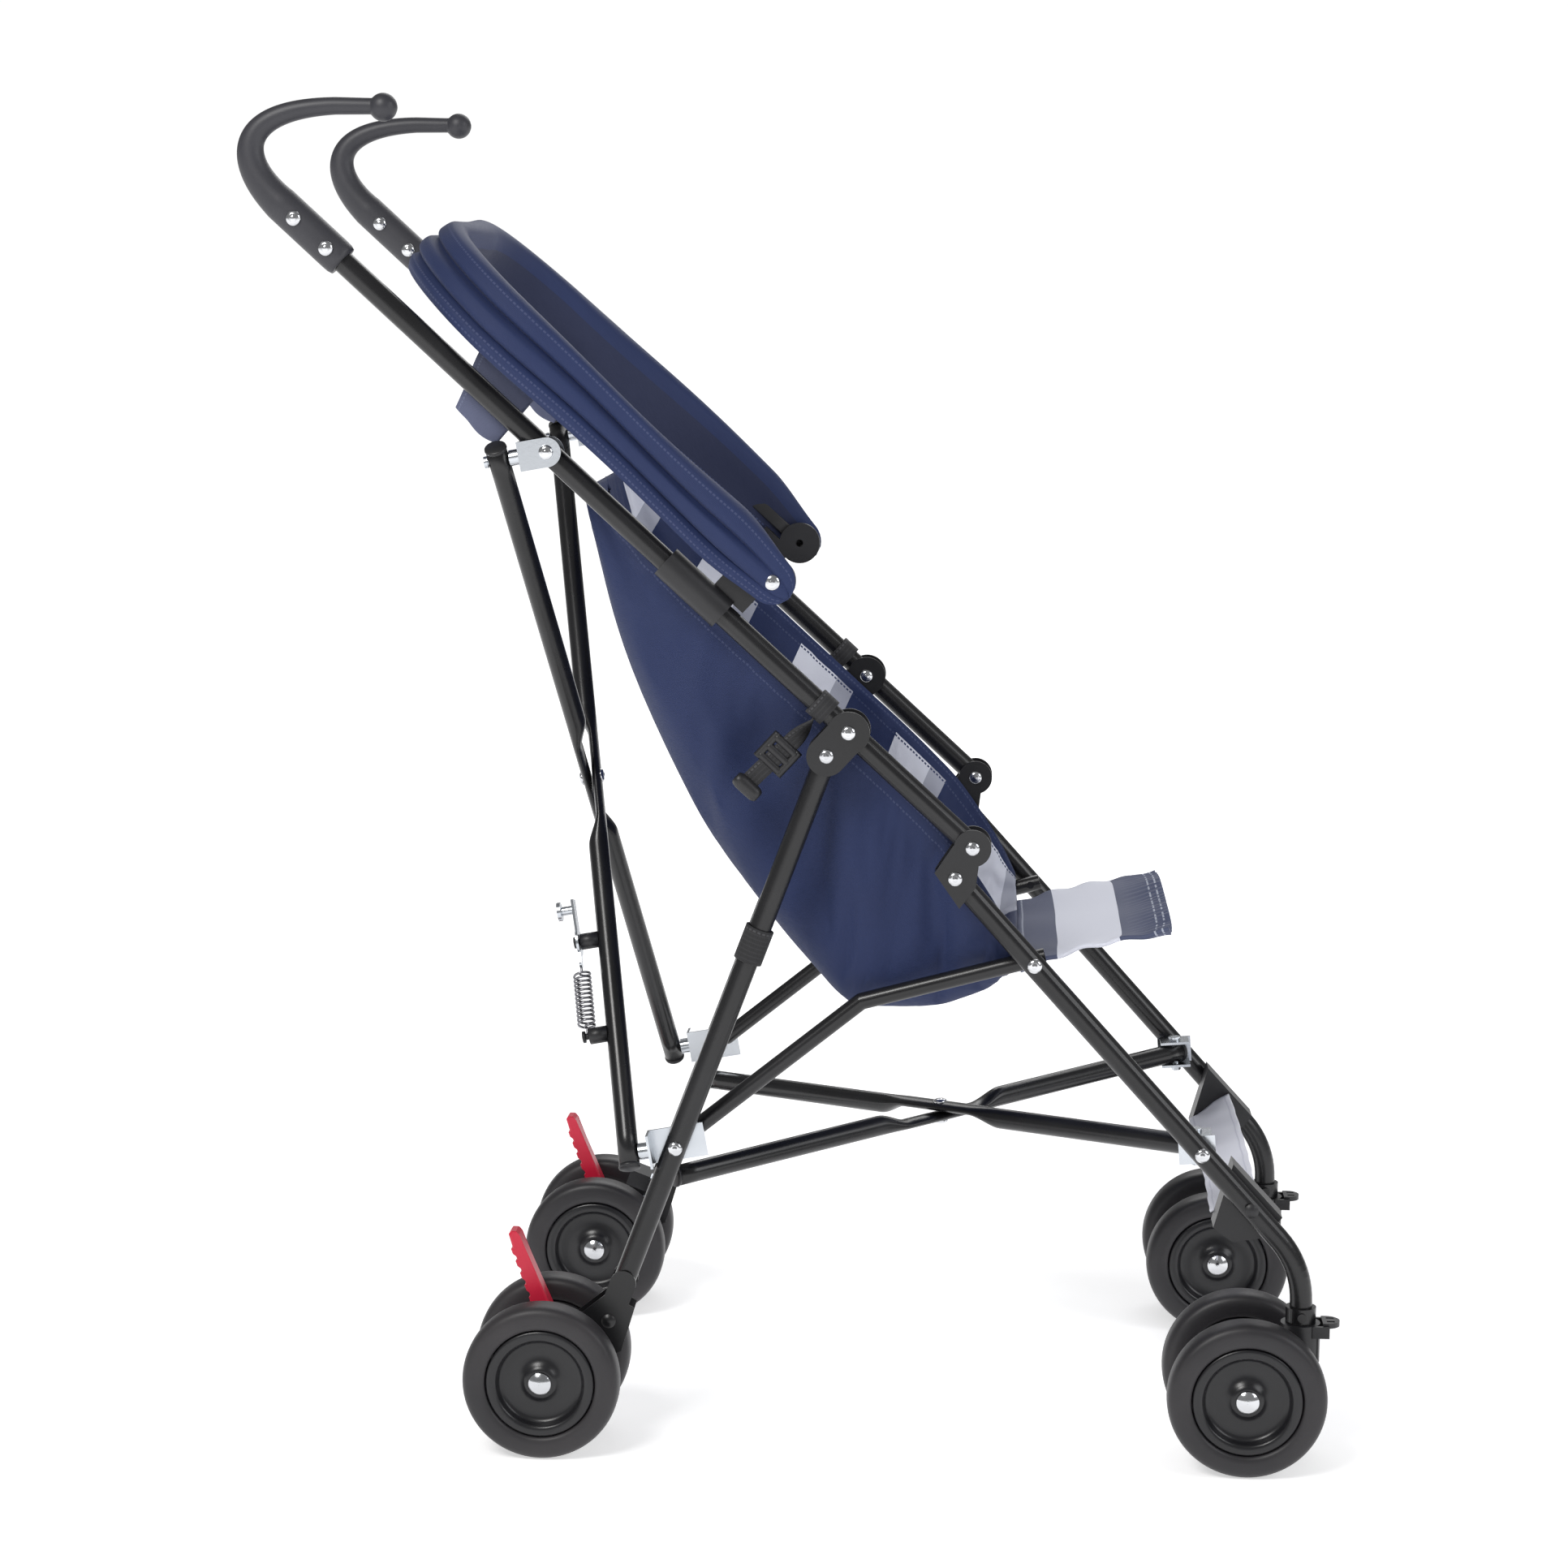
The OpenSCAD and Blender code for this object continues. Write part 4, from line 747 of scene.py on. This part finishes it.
# ---- Calf flap ----
# A stiffened flap sewn to the seat's front edge: a pale band between two slate ones runs along
# its length. Its front hem is gathered by two rows of stitches, so that it ruffles.
flap_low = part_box("calf_flap")[0]
flap_w, flap_len, flap_rise = 0.264, 0.121, math.radians(15)
start = np.array([flap_low.x + 0.001, 0.0, (flap_low.z + 0.003)])
r, c = np.meshgrid(np.linspace(0, 1, 50), np.linspace(-1, 1, 110), indexing="ij")
ruffle = 0.0024 * np.clip((r - 0.72) / 0.28, 0, 1) * np.sin(c * 74 + 1.3 * np.sin(9 * c))
ruffle = ruffle + 0.0012 * np.clip((np.abs(c) - 0.82) / 0.18, 0, 1) * np.sin(r * 23 + 2 * c)
sag = 0.004 * (c**2 - 0.4) * np.sin(np.pi * np.clip(r, 0, 1)) + ruffle + 0.0012 * np.sin(7 * c + 5 * r)
out = flap_len * r - 0.0035 * np.abs(c)**6 * r
flap = np.stack([
    start[0] + out * math.cos(flap_rise) - sag * math.sin(flap_rise),
    c * flap_w / 2 * (1 - 0.02 * r),
    start[2] + out * math.sin(flap_rise) + sag * math.cos(flap_rise)], 2)


def flap_bands(tree, along, across):
    """One pale band across the flap."""
    return band(tree, across, 0.031, 0.082)


flap_cloth = cloth("flap_cloth", slate, pale, flap_bands, rows=(0.004, 0.110, 0.116),
                   thread=(0.40, 0.43, 0.52))
flap_piece = cloth_grid("calf_flap_cloth", flap, c * flap_w / 2, flap_len * r, [flap_cloth], 0.0032)
finish_piece(flap_piece, "root", ["calf_flap"], fold=True)

# ---- Footrest strap ----
# A white strap is stretched between the two moulded caps on the front legs.
# Its ends are sewn into the caps, and it dips a little in the middle.
strap_low, strap_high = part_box("footrest_strap")
middle = (strap_low + strap_high) / 2
r, c = np.meshgrid(np.linspace(-0.5, 0.5, 16), np.linspace(-1, 1, 90), indexing="ij")
dip = -0.005 * (1 - c**2) + 0.0008 * np.sin(19 * c + 7 * r)
tilt = math.radians(35)
strap = np.stack([
    middle.x + 0.040 * r * math.cos(tilt) - dip * math.sin(tilt), c * strap_high.y,
    middle.z + 0.040 * r * math.sin(tilt) + dip * math.cos(tilt)], 2)
strap_cloth = cloth("strap_cloth", (0.74, 0.75, 0.83), rows=(0.004, 0.036), thread=(0.55, 0.56, 0.66))
strap_piece = cloth_grid("footrest_strap_cloth", strap, c * strap_high.y, (r + 0.5) * 0.040,
                         [strap_cloth], 0.0020)
finish_piece(strap_piece, "front_leg_r", ["footrest_strap"], fold=True)

# ---- Canopy ----
# The hood is folded back along the push tubes: one navy sheet gathered into pleats over a
# flat bow. At each end it runs out in a rounded lobe that is riveted to the hinge.
hinge_u, hinge_h = -0.1177, 0.0435
arm_y, arm_back, corner_r = 0.1835, -0.4745, 0.1128


def hood_path(front, count):
    """U-shaped line in plan from the right front end, round the back, to the left front end:
    places as distance down the tube and sideways, the outward direction, and distance along."""
    bend = arm_back + corner_r
    quarter = np.linspace(0, np.pi / 2, 60)
    right = np.concatenate([
        [[front, -arm_y]], np.stack([np.linspace(front, bend, 60)[1:], np.full(59, -arm_y)], 1),
        np.stack([bend - corner_r * np.sin(quarter),
                  -(arm_y - corner_r) - corner_r * np.cos(quarter)], 1)[1:],
        np.stack([np.full(30, arm_back), np.linspace(-(arm_y - corner_r), 0, 30)], 1)[1:]])
    line = np.vstack([right, right[-2::-1] * (1, -1)])
    far = np.concatenate([[0], np.cumsum(np.linalg.norm(np.diff(line, axis=0), axis=1))])
    even = np.linspace(0, far[-1], count)
    path = np.stack([np.interp(even, far, line[:, k]) for k in (0, 1)], 1)
    way = np.gradient(path, axis=0)
    way /= np.linalg.norm(way, axis=1, keepdims=True)
    return path, np.stack([way[:, 1], -way[:, 0]], 1), even


def above_tube(path, out, shift, height):
    """Places in space from a line in plan, moved outwards by shift and standing height above the tubes."""
    u = path[:, :1] + out[:, :1] * shift
    y = path[:, 1:] + out[:, 1:] * shift
    x, z = on_tube(u, -height)
    return np.stack([x, np.broadcast_to(y, x.shape), z], 2)


hood_rows, hood_columns = 420, 120
path, out, far = hood_path(hinge_u + 0.017, hood_rows)
if out[0, 1] > 0:
    out = -out
section = curve_through([
    (-0.0112, 0.028), (-0.0116, 0.040), (-0.0112, 0.055), (-0.0075, 0.067), (0.000, 0.0705),
    (0.0078, 0.0675), (0.0105, 0.0600), (0.0098, 0.0555), (0.0050, 0.0530), (0.0060, 0.0510),
    (0.0108, 0.0470), (0.0112, 0.0400), (0.0085, 0.0370), (0.0045, 0.0355), (0.0070, 0.0330),
    (0.0100, 0.0280), (0.0080, 0.0215)], hood_columns)
width = np.concatenate([[0], np.cumsum(np.linalg.norm(np.diff(section, axis=0), axis=1))])
tip = np.minimum(far, far[-1] - far)[:, None]
lobe = np.clip(1 - tip / 0.075, 0, 1)
lobe = lobe**2 * (3 - 2 * lobe)
tall = 0.0255 - 0.0085 * lobe
tall = tall * np.sqrt(np.clip(1 - np.clip(1 - tip / 0.017, 0, 1)**2, 0.0004, 1))
loose = np.sin(np.pi * np.clip(tip / 0.30, 0, 1))
wave = np.sin(far[:, None] * 19 + 2.2 * np.sin(far[:, None] * 9) + width[None] * 75)
shift = section[None, :, 0] * (1 - 0.86 * lobe) + 0.0032 * lobe + 0.0024 * wave * (1 - lobe)
shift = shift + 0.004 * np.clip(np.abs(path[:, :1] + 0.40) < 0.09, 0, 1) * np.sin(
    np.pi * np.clip((0.09 - np.abs(path[:, :1] + 0.40)) / 0.18, 0, 1)) * (section[None, :, 0] > 0)
height = hinge_h + 0.002 * (1 - lobe) + (section[None, :, 1] - 0.0455) / 0.0255 * tall
height = height + 0.0030 * np.sin(far[:, None] * 13 + 0.8 + width[None] * 40) * (1 - lobe) * loose
hood = above_tube(path, out, shift, height)


def hood_shade(tree, along, across):
    """The part of the sheet that lies inside the bow is painted a darker navy: painted shade."""
    return calc(tree, "LESS_THAN", across, 0.030)


# The second colour, a darker navy, is painted shade on the part of the sheet inside the bow
hood_cloth = cloth("hood_cloth", navy, (0.006, 0.012, 0.050), hood_shade,
                   rows=(0.004, float(width[-1]) - 0.004, float(width[-1]) - 0.009, 0.060),
                   thread=(0.035, 0.05, 0.13))
hood_piece = cloth_grid("canopy_cloth", hood, far[:, None], width[None], [hood_cloth], 0.0013)
finish_piece(hood_piece, "canopy", ["canopy_fabric"], fold=True)

# The bow: one flat moulded strip with a hinge disc at each end
bow_rows, bow_sides = 240, 8
bow_path, bow_out, bow_far = hood_path(hinge_u + 0.004, bow_rows)
if bow_out[0, 1] > 0:
    bow_out = -bow_out
edge = np.array([
    (-0.0095, 0.0387), (-0.0058, 0.0387), (-0.0055, 0.0395), (-0.0055, 0.0477), (-0.0058, 0.0485),
    (-0.0092, 0.0485), (-0.0095, 0.0477), (-0.0095, 0.0395)])
end_move = 0.0045 * np.clip(1 - np.minimum(bow_far, bow_far[-1] - bow_far) / 0.03, 0, 1)[:, None]
bow_height = np.broadcast_to(edge[None, :, 1], (bow_rows, bow_sides))
bow = above_tube(bow_path, bow_out, edge[None, :, 0] + end_move, bow_height)
bow_faces = grid_faces(bow_rows, bow_sides, wrap_columns=True).tolist()
bow_faces.append(list(range(bow_sides)))
bow_faces.append(list(range((bow_rows - 1) * bow_sides, bow_rows * bow_sides))[::-1])
parts = [(bow.reshape(-1, 3), bow_faces)]
pivot_x, pivot_z = (float(a) for a in on_tube(hinge_u, -hinge_h))
for k in (-1, 1):
    disc = np.array([(0.0001, -0.003), (0.0130, -0.003), (0.0140, -0.002), (0.0140, 0.002), (0.0130, 0.003),
                     (0.0001, 0.003)])
    points, quads = turned(disc, (pivot_x, k * 0.1804, pivot_z), 64)
    parts.append((points, quads.tolist()))
bow_piece = add_mesh("canopy_bow_strips", *joined(parts), [finishes["black_plastic"]])
outward(bow_piece)
finish_piece(bow_piece, "canopy", ["canopy_bows"], fold=True)
hinge_rivets = add_mesh("canopy_hinge_rivets", *dome_heads(
    [((pivot_x, k * 0.1885, pivot_z), (0, k, 0)) for k in (-1, 1)], 0.0062, 0.003), [finishes["axle_steel"]])
outward(hinge_rivets)
finish_piece(hinge_rivets, "canopy", fold=True)

# ---- Harness ----
# Black polyester webbing: two shoulder straps sewn down the backrest, and at each push tube a
# waist strap on a sewn loop with a moulded adjuster. Paler ribs run along the webbing.


def web_ribs(tree, along, across):
    """Paler thread lines that run along the webbing."""
    return calc(tree, "MULTIPLY", calc(tree, "LESS_THAN", calc(
        tree, "FRACT", calc(tree, "DIVIDE", across, 0.0034)), 0.3), 0.5)


webbing = cloth("webbing_cloth", (0.013, 0.013, 0.015), (0.03, 0.03, 0.034), web_ribs,
                rows=(0.002,), rough=0.7)


def web(name, middle, wide, thick=0.0016):
    """Strap along a line of middles that lies at right angles to wide, its half width as a vector."""
    middle = np.asarray(middle, float)
    c = np.linspace(-1, 1, 13)
    wide = np.broadcast_to(np.asarray(wide, float), middle.shape)
    places = middle[:, None] + c[None, :, None] * wide[:, None]
    far = np.concatenate([[0], np.cumsum(np.linalg.norm(np.diff(middle, axis=0), axis=1))])[:, None]
    half = np.linalg.norm(wide[0])
    return cloth_grid(name, places, far, (c[None] + 1) * half, [webbing], thick)


# width and length of each strap's cut, how it is held, and the piece under it on the same side
strap_cuts = {
    "shoulder_strap": (0.024, 0.120, "laid", "push_tube"),
    "waist_ring": (0.0144, 0.069, "hung", "push_tube"),
    "waist_strap": (0.0136, 0.080, "hung", "waist_ring"),
    "leg_sleeve": (0.027, 0.068, "stretched", "rear_leg"),
    "canopy_tie": (0.052, 0.092, "hung", "push_tube")}
straps = []
for mark, y in (("r", -0.062), ("l", 0.062)):
    stops = curve_through([(-0.186, 0.066), (-0.150, 0.084), (-0.110, 0.101), (-0.080, 0.111)], 50)
    x, z = on_tube(stops[:, 0], stops[:, 1])
    strap = web("shoulder_strap_" + mark, np.stack([x, np.full(50, y), z], 1), (0, 0.012, 0))
    finish_piece(strap, "root", ["harness"] if mark == "r" else [], fold=True)
    straps.append(strap)
for mark, s, body in (("r", -1, "root"), ("l", 1, "left_side")):
    turn = np.linspace(0, 2 * np.pi, 60)
    ring = np.stack([0 * turn, s * side_y + 0.0102 * np.sin(turn), 0.0102 * np.cos(turn)], 1)
    cx, cz = (float(a) for a in on_tube(-0.027, 0))
    round_tube = np.stack([cx - ring[:, 2] * off_tube.x, ring[:, 1], cz - ring[:, 2] * off_tube.z], 1)
    loop = web("waist_ring_" + mark, round_tube, 0.0072 * np.array(down_tube))
    drop = np.linspace(0.0102, 0.084, 50)
    swing = 0.0015 * np.sin(drop * 60)
    x, z = on_tube(-0.027 + swing, drop)
    twist = np.clip((drop - 0.012) / 0.022, 0, 1)[:, None] * np.pi / 2
    wide = 0.0068 * (np.cos(twist) * np.array((0, 1.0, 0)) + np.sin(twist) * np.array(down_tube))
    hang = web("waist_strap_" + mark, np.stack([x, s * side_y + 0.0008 * np.sin(drop * 90), z], 1), wide)
    for piece in (loop, hang):
        finish_piece(piece, body, ["waist_loop"] if piece is loop and s > 0 else [])
        straps.append(piece)
    # moulded three-bar adjuster near the strap's middle, and a rolled knot at its end
    bars = []
    for low in (0.040, 0.049, 0.058):
        bx, bz = on_tube(-0.027 + np.linspace(-0.0105, 0.0105, 12), np.full(12, low))
        bars.append(sweep(np.stack([bx, np.full(12, s * side_y), bz], 1), 0.0034, 14))
    for u in (-0.0105, 0.0105):
        bx, bz = on_tube(np.full(20, -0.027 + u), np.linspace(0.037, 0.061, 20))
        bars.append(sweep(np.stack([bx, np.full(20, s * side_y), bz], 1), 0.0032, 14))
    bulge = np.linspace(-1, 1, 24)
    bx, bz = on_tube(-0.027 + 0.0115 * bulge, np.full(24, 0.083))
    bars.append(sweep(np.stack([bx, np.full(24, s * side_y), bz], 1), 0.0062 - 0.0022 * bulge**6, 20))
    adjuster = add_mesh("waist_adjuster_" + mark, *joined(bars), [finishes["black_plastic"]])
    outward(adjuster)
    finish_piece(adjuster, body)

# A sewn sleeve of webbing sits round each rear leg beside the seat, and a slate loop ties the
# folded canopy to each push tube.
tie_cloth = cloth("tie_cloth", (0.095, 0.108, 0.185), rows=(0.004,), thread=(0.14, 0.16, 0.25))
for mark, s, body in (("r", -1, "root"), ("l", 1, "left_side")):
    pivot = joint_place["rear_leg_fold_" + mark]
    down_leg = (joint_place["lock_bar_fold_" + mark] - pivot)
    down_leg.y = 0
    down_leg.normalize()
    off_leg = Vector((down_leg.z, 0, -down_leg.x))
    middle = pivot + 0.155 * down_leg
    turn = np.linspace(0, 2 * np.pi, 60)
    sleeve = np.stack([
        middle.x + 0.0100 * np.cos(turn) * off_leg.x, s * side_y + 0.0100 * np.sin(turn),
        middle.z + 0.0100 * np.cos(turn) * off_leg.z], 1)
    sleeve_piece = web("leg_sleeve_" + mark, sleeve, 0.0135 * np.array(down_leg), 0.002)
    finish_piece(sleeve_piece, "rear_leg_" + mark)
    straps.append(sleeve_piece)
    turn = np.linspace(0, 2 * np.pi, 70)[None]
    r = np.linspace(-1, 1, 24)[:, None]
    hang = 0.002 + (0.024 - 0.003 * r**2) * np.cos(turn) + 0.0008 * np.sin(3 * turn + 4 * r)
    x, z = on_tube(-0.362 + 0.027 * r * (1 - 0.25 * (1 + np.cos(turn)) / 2) + 0.004 * np.cos(turn), hang)
    tie = np.stack([x, s * (side_y - 0.0125 - 0.0026 * np.sin(turn)) + 0 * x, z], 2)
    tie_piece = cloth_grid("canopy_tie_" + mark, tie, 0.075 * turn / math.pi, 0.026 * (r + 1),
                           [tie_cloth], 0.0014)
    finish_piece(tie_piece, body)
    straps.append(tie_piece)

# ---- Latch spring ----
# A coil of spring wire pulls the latch hook. Each end of the wire runs in to the middle and
# straight on to its stud.
coil = np.array([nodes["latch_spring"].matrix_world @ v.co for v in nodes["latch_spring"].data.vertices])
centre = (coil.min(0) + coil.max(0)) / 2
way = np.linalg.svd(coil - coil.mean(0), full_matrices=False)[2][0]
hook_at = np.array(joint_place["latch_turn"])
if (centre - hook_at) @ way < 0:
    way = -way
reach = (coil - centre) @ way
turns, steps = 13, 700
t = np.linspace(0, 1, steps)
begin, stop = reach.min(), reach.max()
place = np.where(t < 0.04, begin + (0.0037 * t / 0.04), begin + 0.0037 + (t - 0.04) / 0.90 * 0.046)
place = np.where(t > 0.94, begin + 0.0497 + (t - 0.94) / 0.06 * (stop - begin - 0.0497), place)
radius = 0.0064 * np.clip(np.minimum(t - 0.03, 0.95 - t) / 0.03, 0, 1)
flat_a = np.cross(way, (0.0, 0.0, 1.0))
flat_a /= np.linalg.norm(flat_a)
flat_b = np.cross(way, flat_a)
angle = 2 * np.pi * turns * np.clip((t - 0.03) / 0.92, 0, 1)
wire = centre + place[:, None] * way + radius[:, None] * (
    np.cos(angle)[:, None] * flat_a + np.sin(angle)[:, None] * flat_b)
spring_steel = painted("spring_steel", (0.26, 0.26, 0.28), (0.18, 0.18, 0.20), 0.3, metal=1.0, grain=600)
spring = add_mesh("latch_coil", *sweep(wire, 0.00095, 10), [spring_steel])
outward(spring)
finish_piece(spring, "back_brace_b", ["latch_spring"])

# ---- Brake pedals ----
# Red moulded foot levers with a row of blunt teeth down the back face for the shoe.
# Each turns on a pin between the wheel cheeks.
for mark, s in (("r", -1), ("l", 1)):
    low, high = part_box("brake_pedal_" + mark)
    pivot = joint_place["brake_press_" + mark]
    teeth = []
    for k in range(7):
        a, b = k / 7, (k + 0.55) / 7
        for f, depth_out in ((a, 0.0), (a + 0.02, 0.0022), (b, 0.0022), (b + 0.02, 0.0)):
            teeth.append((-0.009 - 0.024 * f - depth_out * 0.9, 0.004 + 0.066 * f + depth_out * 0.2))
    outline = [(0.004, -0.006), (-0.003, -0.0065), (-0.0075, -0.001)] + teeth + [
        (-0.0352, 0.078), (-0.0335, 0.0805), (-0.0295, 0.0805), (-0.0272, 0.078), (0.0030, 0.008),
        (0.0070, 0.002)]
    outline = np.array(outline)
    inner = outline + (outline.mean(0) - outline) * np.array([0.10, 0.018])
    levels = [(-0.0079, inner), (-0.0070, outline), (0.0070, outline), (0.0079, inner)]
    points = np.vstack([np.stack([pivot.x + o[:, 0], np.full(len(o), s * side_y + y), pivot.z + o[:, 1]], 1)
                        for y, o in levels])
    n_out = len(outline)
    faces = grid_faces(4, n_out, wrap_columns=True).tolist()
    faces += [list(range(n_out)), list(range(3 * n_out, 4 * n_out))[::-1]]
    pedal = add_mesh("brake_pedal_moulding_" + mark, points, faces, [finishes["red_plastic"]], smooth=False)
    outward(pedal)
    finish_piece(pedal, "brake_pedal_" + mark, ["brake_pedal_" + mark])

# ---- Cuts and bounds ----
# Each strap's flat cut is read from the table; then the bounds of the shown pieces, floor left out, are found.
for strap in straps:
    width, length, held, under = strap_cuts[strap.name[:-2]]
bpy.context.view_layer.update()
low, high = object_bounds()
